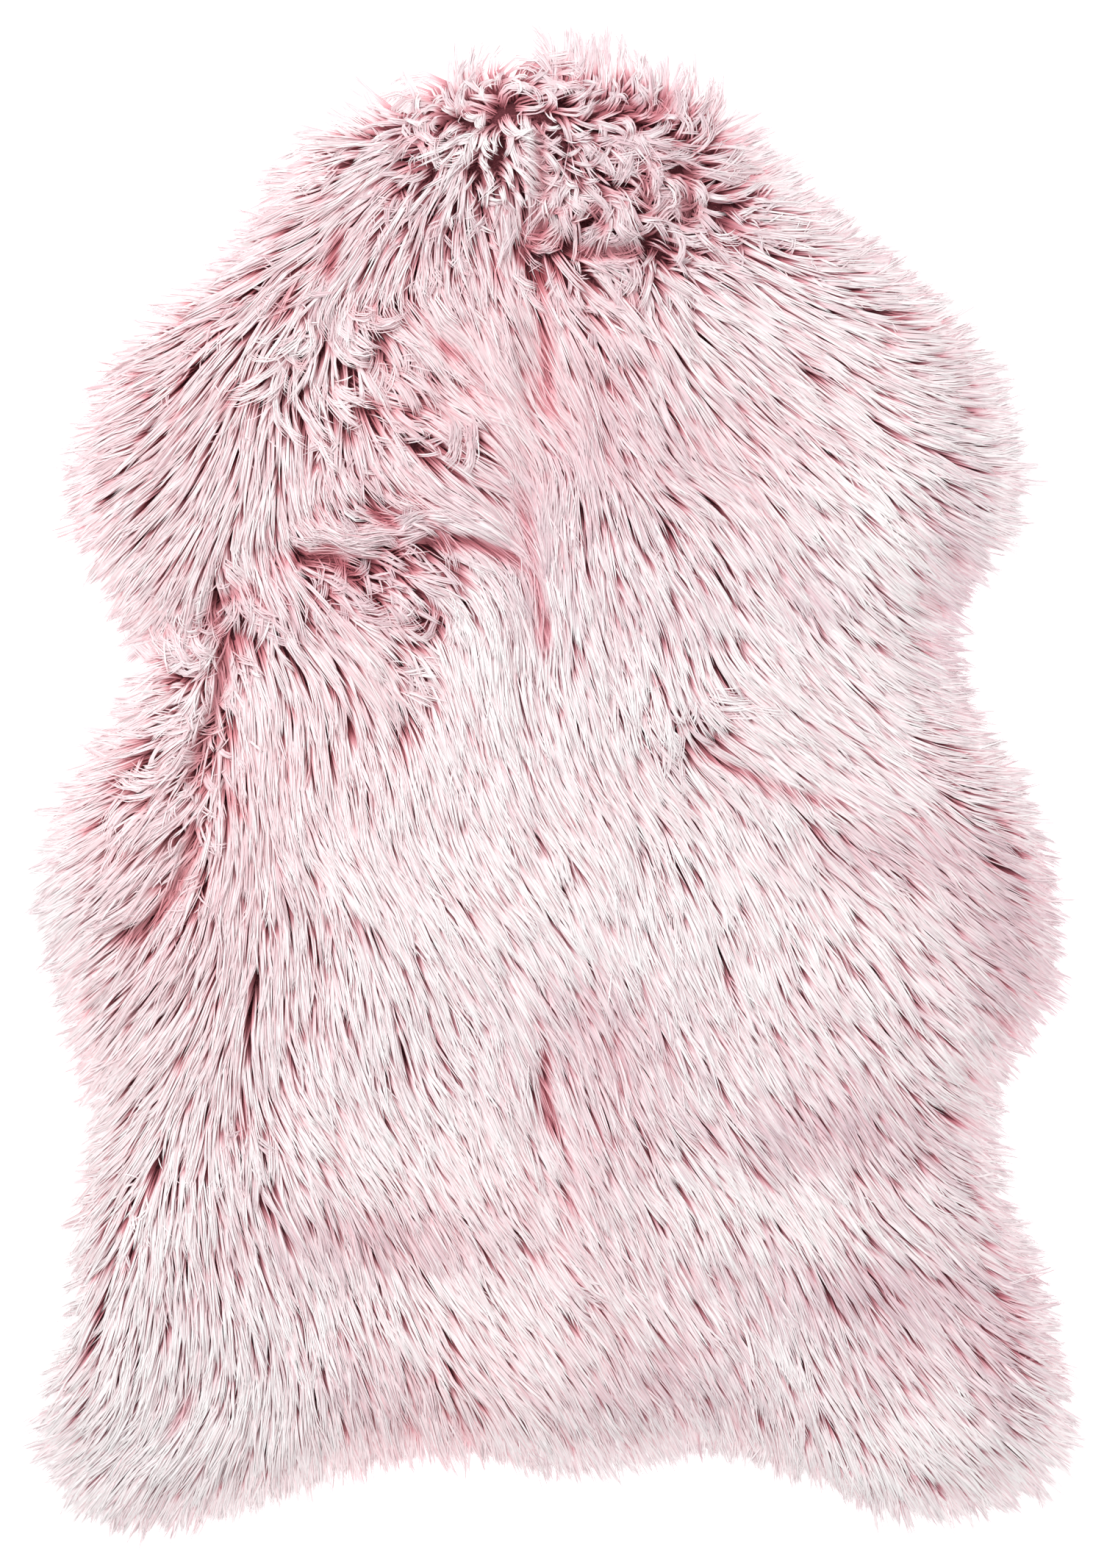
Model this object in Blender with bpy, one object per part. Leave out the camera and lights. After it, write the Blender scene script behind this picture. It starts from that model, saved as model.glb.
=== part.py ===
"""Faux fur rug cut to the outline of a sheepskin, lying flat on the floor with its pile up.

The fabric is knitted in one with its pile, so the rug is one piece and one closed solid, "fur". Its body is a
lumpy slab that falls away at the shoulders, with combed locks raised on its top. Round its rim the pile parts
into tapered locks that come out of the slab, droop, and lie level just over the floor.

Metres. +Y runs from the rump to the neck, +X is on the right with the neck up, and z = 0 is the floor. A
heading is the way the pile falls from root to tip, in degrees from +X towards +Y.
"""

import math

import bmesh
import bpy
import numpy as np
from mathutils import Matrix

MM = 0.001
NODE = "fur"

# The slab of pile
PILE_TOP = 22.5 * MM  # combed pile over the floor, between its raised locks
RIM_TOP = 9 * MM  # pile over the floor where the slab ends and its locks go on
SHOULDER = 52 * MM  # width of the band over which the pile falls away to its rim
SLAB_INSET = 19 * MM  # from the outline of the pile in to the wall of the slab
PITCH = 17 * MM  # mesh of the slab's top
RIM_STEPS = 4  # straight runs of the wall for each place on the rim

# Combed locks raised on the slab
CREST_PITCH = 40 * MM
CREST_LENGTH = 34 * MM  # half length
CREST_WIDTH = 13 * MM  # half width
CREST_RISE = (0.45 * 13 * MM, 13 * MM)  # lowest and highest
CREST_STRAY = 0.35  # how far a lock strays from its place in the pattern, as a share of the pitch
CREST_SWAY = 7.0  # degrees, one standard deviation from the combed heading

# Locks at the rim
RIM_LOCKS = 162
LOCK_RADIUS = 6.6 * MM
LOCK_ROOT = 33 * MM  # from the rim back into the slab
LOCK_REACH = (0.5 * MM, 6.5 * MM)  # from the rim out to the tip
LOCK_STRAY = 0.22  # how far a lock strays from its place along the rim, as a share of the spacing
LOCK_SWAY = 9.0  # degrees either way
LOCK_LEAST_FACING = 0.55  # a lock that runs along the rim is lengthened at most by one over this
LOCK_STATIONS = (  # share of the root (below 0) or of the reach from the rim, height in mm, share of the radius
    (-1.0, 12.5, 0.9),
    (-0.5, 9.5, 1.0),
    (-0.1, 5.6, 0.74),
    (1.0, 1.7, 0.12),
)
RIM_FINE_STEPS = 40  # points of the rim for each of its places, where the locks are set out

# Slow waves of the pile as it lies: rise in mm, wavelengths across and along the rug in mm, phase in degrees
SWELLS = (
    (2.5, 295, 365, 63),
    (1.5, 207, 230, 0),
)

# The outline of the dense pile, clockwise from the neck: place, x and y in mm, heading of its locks
RIM = (
    ("crown", 18, 450, 88),
    ("crown right", 84, 432, 60),
    ("neck right", 124, 392, 18),
    ("shoulder right upper", 172, 346, 8),
    ("shoulder right lower", 230, 299, 2),
    ("foreleg right upper", 267, 252, 3),
    ("foreleg right tip", 285, 200, 0),
    ("foreleg right lower", 278, 150, 345),
    ("armpit right", 253, 118, 336),
    ("waist right", 243, 82, 332),
    ("flank right", 262, 32, 337),
    ("belly right upper", 292, -10, 345),
    ("belly right", 306, -80, 334),
    ("belly right lower", 300, -138, 329),
    ("notch right", 270, -188, 327),
    ("notch right lower", 271, -240, 325),
    ("thigh right", 294, -306, 330),
    ("hind leg right", 315, -375, 329),
    ("hind leg right tip", 306, -425, 323),
    ("hind leg right corner", 266, -445, 318),
    ("hind leg right inner", 212, -448, 311),
    ("rump right outer", 155, -425, 297),
    ("rump right", 92, -407, 300),
    ("tail", 22, -421, 300),
    ("rump left", -62, -410, 292),
    ("rump left outer", -130, -421, 272),
    ("hind leg left inner", -198, -446, 246),
    ("hind leg left corner", -258, -457, 234),
    ("hind leg left tip", -304, -438, 228),
    ("hind leg left", -314, -385, 238),
    ("thigh left", -300, -308, 240),
    ("notch left", -289, -205, 232),
    ("belly left lower", -304, -115, 226),
    ("belly left", -316, -62, 210),
    ("flank left", -294, -10, 212),
    ("waist left lower", -262, 44, 214),
    ("waist left", -250, 80, 238),
    ("armpit left", -273, 120, 215),
    ("foreleg left lower", -293, 165, 209),
    ("foreleg left", -287, 220, 212),
    ("shoulder left lower", -250, 281, 206),
    ("shoulder left upper", -202, 323, 205),
    ("neck left lower", -163, 370, 193),
    ("neck left", -148, 401, 180),
    ("neck left upper", -92, 428, 128),
    ("crown left", -38, 447, 92),
)

# How the pile is combed inside the outline: x and y in mm, heading
COMB = (
    (-70, 385, 215), (30, 400, 80), (90, 360, 340),
    (-150, 290, 215), (-60, 290, 262), (0, 300, 280), (60, 300, 306), (140, 270, 328),
    (-220, 200, 222), (-150, 210, 272), (-70, 190, 318), (0, 180, 285), (70, 190, 306), (160, 190, 322),
    (220, 190, 338),
    (-140, 130, 350), (-100, 80, 328), (-40, 90, 280), (20, 90, 272), (110, 90, 302), (190, 90, 322),
    (-190, 10, 276), (-100, 0, 280), (0, 0, 290), (100, 0, 308), (200, 10, 328),
    (-250, -70, 205), (-190, -80, 270), (-100, -90, 284), (0, -90, 292), (100, -90, 284), (200, -90, 312),
    (-240, -150, 238), (-150, -170, 272), (-50, -170, 288), (60, -170, 284), (150, -170, 300), (230, -170, 320),
    (-230, -260, 262), (-130, -260, 288), (-30, -260, 296), (70, -260, 298), (160, -270, 303), (250, -280, 320),
    (-240, -350, 256), (-150, -350, 276), (-60, -350, 288), (30, -350, 305), (120, -350, 288), (220, -360, 315),
)  # fmt: skip

# Where the pile parts, or one sweep of it overhangs the next: depth and half width in mm, and its path in mm
PARTINGS = (
    # the spine, from the neck to the waist and again at the haunch
    (9, 12, ((-8, 372), (-10, 300), (-6, 235), (-12, 160), (-8, 90), (-10, 20))),
    (7, 11, ((-5, -150), (1, -200), (6, -250), (10, -305))),
    # the left flank, under the shoulder's overlap, and the left hind leg
    (12, 13, ((-185, 122), (-203, 92), (-201, 45), (-204, 0), (-226, -58), (-270, -108))),
    (8, 11, ((-180, 140), (-125, 132), (-72, 144), (-26, 142))),
    (8, 10, ((-222, -372), (-236, -405), (-284, -432))),
)

# Where the pile is ruffled up: x and y in mm, half width, rise in mm
RUFFLES = (
    (20, 378, 62, 7),
    (62, 352, 34, 5),
    (-80, 415, 34, 5),
    (-110, 312, 34, 4),
    (-124, 142, 46, 5),
    (-226, 66, 24, 8),
    (-104, 68, 20, 5),
    (88, 38, 16, 4),
    (-188, -204, 16, 4),
    (8, -312, 16, 4),
)


def unit(degrees):
    """The heading, or array of headings, as unit vectors along its last axis."""
    turn = np.radians(degrees)
    return np.stack([np.cos(turn), np.sin(turn)], axis=-1)


def smooth_loop(rows, steps):
    """A closed Catmull-Rom curve through rows of numbers, with this many steps for each row."""
    before, after, beyond = np.roll(rows, 1, 0), np.roll(rows, -1, 0), np.roll(rows, -2, 0)
    t = (np.arange(steps) / steps)[None, :, None]
    p0, p1, p2, p3 = (part[:, None, :] for part in (before, rows, after, beyond))
    curve = p1 + 0.5 * t * (p2 - p0 + t * (2 * p0 - 5 * p1 + 4 * p2 - p3 + t * (3 * (p1 - p2) + p3 - p0)))
    return curve.reshape(-1, rows.shape[1])


def outward_of(loop):
    """Unit normals that point out of a clockwise loop of points."""
    along = np.roll(loop, -1, 0) - np.roll(loop, 1, 0)
    out = np.stack([-along[:, 1], along[:, 0]], axis=-1)
    return out / np.linalg.norm(out, axis=1, keepdims=True)


def rim_samples(steps):
    """The rim's points, outward normals and headings as unit vectors, evenly split between its places."""
    table = np.array([row[1:] for row in RIM], float)
    looped = smooth_loop(np.hstack([table[:, :2] * MM, unit(table[:, 2])]), steps)
    points, fall = looped[:, :2], looped[:, 2:]
    return points, outward_of(points), fall / np.linalg.norm(fall, axis=1, keepdims=True)


def combed(points):
    """The pile's heading at any points, as unit vectors: the near strokes of the comb and the rim, blended."""
    strokes = np.array(COMB, float)
    rim_points, _, rim_fall = rim_samples(1)
    places = np.vstack([strokes[:, :2] * MM, rim_points])
    falls = np.vstack([unit(strokes[:, 2]), rim_fall])
    reach = np.linalg.norm(points[:, None] - places[None], axis=2) + 5 * MM
    blend = (reach**-3.0) @ falls
    return blend / np.linalg.norm(blend, axis=1, keepdims=True)


def distance_to_path(points, path):
    """How far each point lies from an open path."""
    least = np.full(len(points), np.inf)
    for start, end in zip(path[:-1], path[1:]):
        run = end - start
        along = np.clip((points - start) @ run / (run @ run), 0, 1)
        least = np.minimum(least, np.linalg.norm(points - start - along[:, None] * run, axis=1))
    return least


def inside_depth(points, wall, outward):
    """How far each point lies inside the slab's wall, and 0 outside it."""
    offsets = points[:, None] - wall[None]
    far = np.linalg.norm(offsets, axis=2)
    near = far.argmin(axis=1)
    row = np.arange(len(points))
    within = (offsets[row, near] * outward[near]).sum(axis=1) < 0
    return np.where(within, far[row, near], 0)


def crests(points, rng):
    """Rise of the combed locks at each point: long mounds laid along the pile, the highest one winning."""
    (left, low), (right, high) = points.min(axis=0), points.max(axis=0)
    columns = np.arange(left, right, CREST_PITCH)
    rows = np.arange(low, high, CREST_PITCH)
    places = np.array([(x + CREST_PITCH / 2 * (j % 2), y) for j, y in enumerate(rows) for x in columns])
    places = places + rng.uniform(-CREST_STRAY, CREST_STRAY, places.shape) * CREST_PITCH
    falls = combed(places)
    headings = np.degrees(np.arctan2(falls[:, 1], falls[:, 0])) + rng.normal(0, CREST_SWAY, len(places))
    rises = rng.uniform(*CREST_RISE, len(places))
    highest = np.zeros(len(points))
    for place, heading, rise in zip(places, headings, rises):
        offset = points - place
        along = offset @ unit(heading) / CREST_LENGTH
        across = offset @ unit(heading + 90) / CREST_WIDTH
        highest = np.maximum(highest, rise * np.exp(-(along**2) - across**2))
    return highest


def pile_height(points, wall, outward, rng):
    """Height of the pile's top over the floor at each point."""
    t = np.clip(inside_depth(points, wall, outward) / SHOULDER, 0, 1)
    crown = np.sqrt(1 - (1 - t) ** 2)
    x, y = points.T
    lumps = crests(points, rng)
    for rise, across, along, phase in SWELLS:
        wave_x = np.sin(math.tau * x / (across * MM) + math.radians(phase))
        lumps += rise * MM * wave_x * np.cos(math.tau * y / (along * MM))
    for px, py, reach, rise in RUFFLES:
        lumps += rise * MM * np.exp(-((x - px * MM) ** 2 + (y - py * MM) ** 2) / (reach * MM) ** 2)
    for depth, width, path in PARTINGS:
        away = distance_to_path(points, np.array(path) * MM)
        lumps -= depth * MM * np.exp(-((away / (width * MM)) ** 2))
    return RIM_TOP + crown * (PILE_TOP - RIM_TOP + lumps)


def collection(name):
    made = bpy.data.collections.new(name)
    bpy.context.scene.collection.children.link(made)
    return made


def mesh_object(name, data, home):
    made = bpy.data.objects.new(name, data)
    home.objects.link(made)
    return made


def as_guide(tool):
    """Shows a piece that only shapes another one as wires, and keeps it out of renders."""
    tool.hide_render = True
    tool.display_type = "WIRE"


def curve_to_mesh(curve, home):
    """The curve as a closed mesh in its own object, its caps welded on, in place of the curve."""
    graph = bpy.context.evaluated_depsgraph_get()
    data = bpy.data.meshes.new_from_object(curve.evaluated_get(graph))
    bm = bmesh.new()
    bm.from_mesh(data)
    bmesh.ops.remove_doubles(bm, verts=bm.verts, dist=1e-6)
    bmesh.ops.recalc_face_normals(bm, faces=bm.faces)
    bm.to_mesh(data)
    bm.free()
    made = mesh_object(curve.name + " solid", data, home)
    made.matrix_world = curve.matrix_world.copy()
    bpy.data.objects.remove(curve)
    return made


def outline_prism(wall, home):
    """A tall prism over the slab's outline, from below the floor to above the pile."""
    data = bpy.data.curves.new("outline", "CURVE")
    data.dimensions = "2D"
    data.fill_mode = "BOTH"
    data.extrude = 3 * PILE_TOP
    spline = data.splines.new("POLY")
    spline.points.add(len(wall) - 1)
    for point, (x, y) in zip(spline.points, wall):
        point.co = (x, y, 0, 1)
    spline.use_cyclic_u = True
    prism = curve_to_mesh(mesh_object("outline", data, home), home)
    as_guide(prism)
    return prism


def pile_block(wall, outward, rng, home):
    """A block over the whole rug: a grid raised to the pile's top, walls down to the floor, and a flat base."""
    low, high = wall.min(axis=0) - PITCH, wall.max(axis=0) + PITCH
    columns, rows = (int(n) for n in np.ceil((high - low) / PITCH))
    half = (high - low) / 2
    middle = (high + low) / 2
    bm = bmesh.new()
    placed = Matrix.Translation((*middle, 0)) @ Matrix.Diagonal((*half, 1, 1))
    bmesh.ops.create_grid(bm, x_segments=columns, y_segments=rows, size=1, matrix=placed)
    top = list(bm.verts)
    heights = pile_height(np.array([v.co.xy for v in top]), wall, outward, rng)
    for vertex, height in zip(top, heights):
        vertex.co.z = height
    edge = [e for e in bm.edges if e.is_boundary]
    lowered = bmesh.ops.extrude_edge_only(bm, edges=edge)["geom"]
    for vertex in (item for item in lowered if isinstance(item, bmesh.types.BMVert)):
        vertex.co.z = 0
    bmesh.ops.contextual_create(bm, geom=[e for e in lowered if isinstance(e, bmesh.types.BMEdge)])
    bmesh.ops.recalc_face_normals(bm, faces=bm.faces)
    data = bpy.data.meshes.new(NODE)
    bm.to_mesh(data)
    bm.free()
    return mesh_object(NODE, data, home)


def rim_locks(rng, home):
    """The rim's locks, one spline of a curve each: out of the slab, drooping, then level just over the floor."""
    points, outward, fall = rim_samples(RIM_FINE_STEPS)
    runs = np.linalg.norm(np.roll(points, -1, 0) - points, axis=1)
    reached = np.concatenate([[0], np.cumsum(runs)[:-1]])
    places = (np.arange(RIM_LOCKS) + rng.uniform(-LOCK_STRAY, LOCK_STRAY, RIM_LOCKS)) * runs.sum() / RIM_LOCKS
    index = np.searchsorted(reached, places % runs.sum()) % len(points)
    data = bpy.data.curves.new("rim locks", "CURVE")
    data.dimensions = "3D"
    data.bevel_depth = LOCK_RADIUS
    data.bevel_resolution = 0
    data.use_fill_caps = True
    for i in index:
        heading = math.degrees(math.atan2(fall[i, 1], fall[i, 0])) + rng.uniform(-LOCK_SWAY, LOCK_SWAY)
        facing = max(float(outward[i] @ fall[i]), LOCK_LEAST_FACING)
        root = LOCK_ROOT / facing
        reach = rng.uniform(*LOCK_REACH) / facing
        spline = data.splines.new("POLY")
        spline.points.add(len(LOCK_STATIONS) - 1)
        for point, (share, height, thickness) in zip(spline.points, LOCK_STATIONS):
            along = share * (root if share < 0 else reach)
            x, y = points[i] + along * unit(heading)
            point.co = (x, y, height * MM, 1)
            point.radius = thickness
    locks = curve_to_mesh(mesh_object("rim locks", data, home), home)
    as_guide(locks)
    return locks


def boolean(target, tool, operation):
    made = target.modifiers.new(f"{operation.lower()} {tool.name}", "BOOLEAN")
    made.operation = operation
    made.solver = "EXACT"
    made.use_self = operation == "UNION"
    made.object = tool


def fur_material():
    """Long acrylic pile: pale pink, soft and matt."""
    made = bpy.data.materials.new("pink pile")
    made.use_nodes = True
    shader = made.node_tree.nodes["Principled BSDF"]
    shader.inputs["Base Color"].default_value = (0.84, 0.62, 0.65, 1)
    shader.inputs["Roughness"].default_value = 0.85
    shader.inputs["Metallic"].default_value = 0.0
    made.diffuse_color = (0.84, 0.62, 0.65, 1)
    return made


def centre_over_origin(locks, others):
    """Moves the pieces so that the middle of the box round the locks, which reach furthest, is over the origin."""
    corners = np.array([v.co[:2] for v in locks.data.vertices])
    middle = (corners.min(axis=0) + corners.max(axis=0)) / 2
    for piece in (locks, *others):
        piece.data.transform(Matrix.Translation((-middle[0], -middle[1], 0)))


def main():
    for old in list(bpy.data.objects):
        bpy.data.objects.remove(old)
    rng = np.random.default_rng(7)
    rug = collection("Faux fur rug")
    cutters = collection("Cutters")
    points, outward, _ = rim_samples(RIM_STEPS)
    wall = points - SLAB_INSET * outward
    slab = pile_block(wall, outward, rng, rug)
    prism = outline_prism(wall, cutters)
    locks = rim_locks(rng, cutters)
    centre_over_origin(locks, (slab, prism))
    boolean(slab, prism, "INTERSECT")
    boolean(slab, locks, "UNION")
    slab.data.materials.append(fur_material())


main()
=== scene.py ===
# %% [markdown]
# # A long-pile faux fur rug
# Fur fabric is knitted with its pile in it and then cut to shape, here to the outline of a sheepskin. What
# shows is the coat: some hundred thousand fibres that hang together in locks. The solid of the rug comes
# packed as a fixed frame, and everything below is grown over it, so nothing needs to be fitted afterwards.

# %% Load the frame
import math

import bmesh
import bpy
import numpy as np
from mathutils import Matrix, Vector
from mathutils.bvhtree import BVHTree
from mathutils.kdtree import KDTree


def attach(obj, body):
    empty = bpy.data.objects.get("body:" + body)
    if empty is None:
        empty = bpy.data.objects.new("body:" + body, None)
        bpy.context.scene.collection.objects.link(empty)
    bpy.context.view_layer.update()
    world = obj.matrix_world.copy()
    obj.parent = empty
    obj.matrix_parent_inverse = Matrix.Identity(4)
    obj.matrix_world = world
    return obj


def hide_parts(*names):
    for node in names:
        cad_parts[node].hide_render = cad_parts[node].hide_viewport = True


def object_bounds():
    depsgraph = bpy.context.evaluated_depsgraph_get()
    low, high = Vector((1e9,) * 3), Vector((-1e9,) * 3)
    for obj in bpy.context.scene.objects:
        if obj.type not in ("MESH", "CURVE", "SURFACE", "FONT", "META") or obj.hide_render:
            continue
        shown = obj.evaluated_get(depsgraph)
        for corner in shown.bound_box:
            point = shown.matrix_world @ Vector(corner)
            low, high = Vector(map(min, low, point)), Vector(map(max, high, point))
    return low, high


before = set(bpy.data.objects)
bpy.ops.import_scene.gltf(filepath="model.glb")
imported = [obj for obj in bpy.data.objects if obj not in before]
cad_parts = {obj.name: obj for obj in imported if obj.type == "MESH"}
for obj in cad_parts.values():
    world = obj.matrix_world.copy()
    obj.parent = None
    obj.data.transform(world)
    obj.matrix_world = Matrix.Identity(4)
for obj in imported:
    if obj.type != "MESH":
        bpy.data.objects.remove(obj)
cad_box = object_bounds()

MM = 0.001
fur_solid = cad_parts["fur"]
print("rug solid:", [round(side * 1000) for side in np.subtract(*reversed(cad_box))], "mm")

# %% [markdown]
# ## Reading the solid
# The rug's solid says two things that the coat needs: where the cloth lies, which is the edge of its flat
# underside, and how high the combed pile stands over every spot. Both are measured once and kept on a fine
# grid over the floor, because a hundred thousand fibres will ask for them.

# %% Edge of the flat underside
WELD = 0.001 * MM  # corners nearer than this are one
FLAT = 0.01 * MM  # highest corner of a face that still counts as the underside


def underside_loop(solid):
    """The points round the solid's flat underside, in order, on the floor."""
    bm = bmesh.new()
    bm.from_mesh(solid.data)
    bmesh.ops.remove_doubles(bm, verts=bm.verts, dist=WELD)
    flat = {face for face in bm.faces if max(v.co.z for v in face.verts) < FLAT}
    edge = [e for e in bm.edges if sum(face in flat for face in e.link_faces) == 1]
    ahead = {}
    for e in edge:
        for here, there in (e.verts, reversed(e.verts)):
            ahead.setdefault(here.index, []).append(there.index)
    places = {v.index: v.co.xy.copy() for e in edge for v in e.verts}
    bm.free()
    loop = [next(iter(ahead))]
    while len(loop) < len(ahead):
        onward = [i for i in ahead[loop[-1]] if i not in loop[-2:]]
        loop.append(onward[0])
    return np.array([places[i] for i in loop])


slab_edge = underside_loop(fur_solid)
print("points round the underside:", len(slab_edge))

# %% A fine grid over the floor
CELL = 4 * MM
MARGIN = 40 * MM
grid_low = np.array(cad_box[0][:2]) - MARGIN
grid_count = np.ceil((np.array(cad_box[1][:2]) + MARGIN - grid_low) / CELL).astype(int) + 1
columns, rows = np.meshgrid(np.arange(grid_count[0]), np.arange(grid_count[1]), indexing="ij")
grid_points = grid_low + np.stack([columns, rows], axis=-1).reshape(-1, 2) * CELL


def read_grid(values, points):
    """Reads a grid of numbers or vectors at any points, blending the four cells round each."""
    place = (points - grid_low) / CELL
    place = np.clip(place, 0, grid_count - 1.001)
    cell = place.astype(int)
    tx, ty = (place - cell).T
    if values.ndim == 3:
        tx, ty = tx[:, None], ty[:, None]
    i, j = cell.T
    near = values[i, j] * (1 - tx) + values[i + 1, j] * tx
    far = values[i, j + 1] * (1 - tx) + values[i + 1, j + 1] * tx
    return near * (1 - ty) + far * ty


def softened(values, passes):
    """Blurs a grid by passing a small 1-2-1 brush over it."""
    for _ in range(passes):
        for axis in (0, 1):
            values = (np.roll(values, 1, axis) + 2 * values + np.roll(values, -1, axis)) / 4
    return values


print("grid:", tuple(grid_count))

# %% Height of the pile and distance in from the cloth's edge
HEIGHT_PASSES = 4  # of the brush over the solid's facets
EDGE_PARTS = 6  # that each straight run of the edge is split into


def pile_heights(solid):
    """Height of the solid's top over each cell of the grid, by casting rays straight down."""
    tree = BVHTree.FromObject(solid, bpy.context.evaluated_depsgraph_get())
    high = cad_box[1][2] + 10 * MM
    found = [tree.ray_cast(Vector((x, y, high)), Vector((0, 0, -1)))[0] for x, y in grid_points]
    return np.array([hit.z if hit else 0.0 for hit in found]).reshape(grid_count)


def inside(points, loop):
    """Which points lie inside a loop: those from where a ray to +X crosses it an odd number of times."""
    crossed = np.zeros(len(points), bool)
    for (x0, y0), (x1, y1) in zip(loop, np.roll(loop, -1, 0)):
        spans = (y0 > points[:, 1]) != (y1 > points[:, 1])
        if spans.any():
            at = x0 + (points[:, 1] - y0) / (y1 - y0) * (x1 - x0)
            crossed ^= spans & (points[:, 0] < at)
    return crossed


def nearest(points, centres):
    """For each point, which centre is nearest and how far away it is."""
    tree = KDTree(len(centres))
    for i, (x, y) in enumerate(centres):
        tree.insert((x, y, 0), i)
    tree.balance()
    found = [tree.find((x, y, 0)) for x, y in points]
    return np.array([index for _, index, _ in found]), np.array([away for _, _, away in found])


def distances_in(points, loop):
    """Distance of each point in from a loop, negative outside it."""
    steps = np.linspace(0, 1, EDGE_PARTS, endpoint=False)[None, :, None]
    fine = (loop[:, None] * (1 - steps) + np.roll(loop, -1, 0)[:, None] * steps).reshape(-1, 2)
    far = nearest(points, fine)[1]
    return np.where(inside(points, loop), far, -far)


height_grid = softened(pile_heights(fur_solid), HEIGHT_PASSES)
edge_grid = distances_in(grid_points, slab_edge).reshape(grid_count)
print("pile:", round(height_grid.max() * 1000, 1), "mm at its highest")

# %% [markdown]
# ## Combing
# A groomer decides which way the coat falls before a single fibre is placed. The chart below holds the
# heading from root to tip, in degrees anticlockwise from the right, for a knot every 50 mm across and
# every 45 mm down the rug. Between the knots the headings blend. Where the coat breaks suddenly, as along
# a crease, a chart this coarse would smear it, so single strokes of the comb go over the top.

# %% The comb's chart
CHART_LEFT, CHART_TOP = -300 * MM, 440 * MM
CHART_ACROSS, CHART_DOWN = 50 * MM, 45 * MM
COMB_CHART = np.array([
    [190, 182, 172, 165, 140, 105, 80, 84, 45, 28, 12, 5, 0],
    [200, 200, 203, 205, 214, 252, 284, 330, 4, 8, 6, 4, 0],
    [205, 210, 215, 222, 228, 272, 284, 302, 346, 358, 3, 3, 0],
    [212, 216, 222, 234, 256, 288, 281, 305, 320, 334, 350, 0, 0],
    [212, 216, 229, 264, 302, 306, 290, 298, 313, 320, 334, 356, 5],
    [214, 220, 250, 276, 306, 316, 302, 290, 312, 316, 326, 343, 0],
    [214, 224, 250, 278, 310, 326, 275, 290, 310, 310, 316, 332, 350],
    [216, 226, 268, 310, 334, 318, 276, 296, 300, 308, 314, 330, 340],
    [222, 244, 275, 306, 312, 277, 276, 284, 293, 310, 318, 328, 336],
    [216, 222, 267, 277, 295, 286, 286, 284, 312, 318, 322, 328, 334],
    [214, 222, 272, 276, 278, 288, 300, 300, 310, 317, 322, 326, 336],
    [226, 225, 268, 298, 300, 302, 300, 288, 298, 308, 314, 318, 322],
    [227, 228, 258, 282, 292, 304, 302, 290, 288, 292, 310, 317, 320],
    [233, 231, 258, 272, 284, 298, 300, 297, 294, 300, 310, 314, 316],
    [233, 234, 268, 296, 296, 296, 286, 294, 304, 302, 304, 315, 315],
    [235, 246, 280, 300, 301, 298, 298, 298, 310, 304, 304, 314, 316],
    [244, 262, 282, 292, 296, 303, 300, 298, 292, 300, 310, 314, 316],
    [252, 266, 280, 288, 290, 307, 308, 302, 300, 290, 306, 315, 318],
    [246, 256, 262, 282, 286, 306, 308, 304, 302, 286, 304, 313, 318],
    [232, 232, 244, 266, 278, 298, 302, 300, 302, 294, 308, 314, 316],
    [226, 231, 240, 262, 276, 290, 298, 300, 300, 298, 308, 314, 318],
], float)  # fmt: skip

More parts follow.
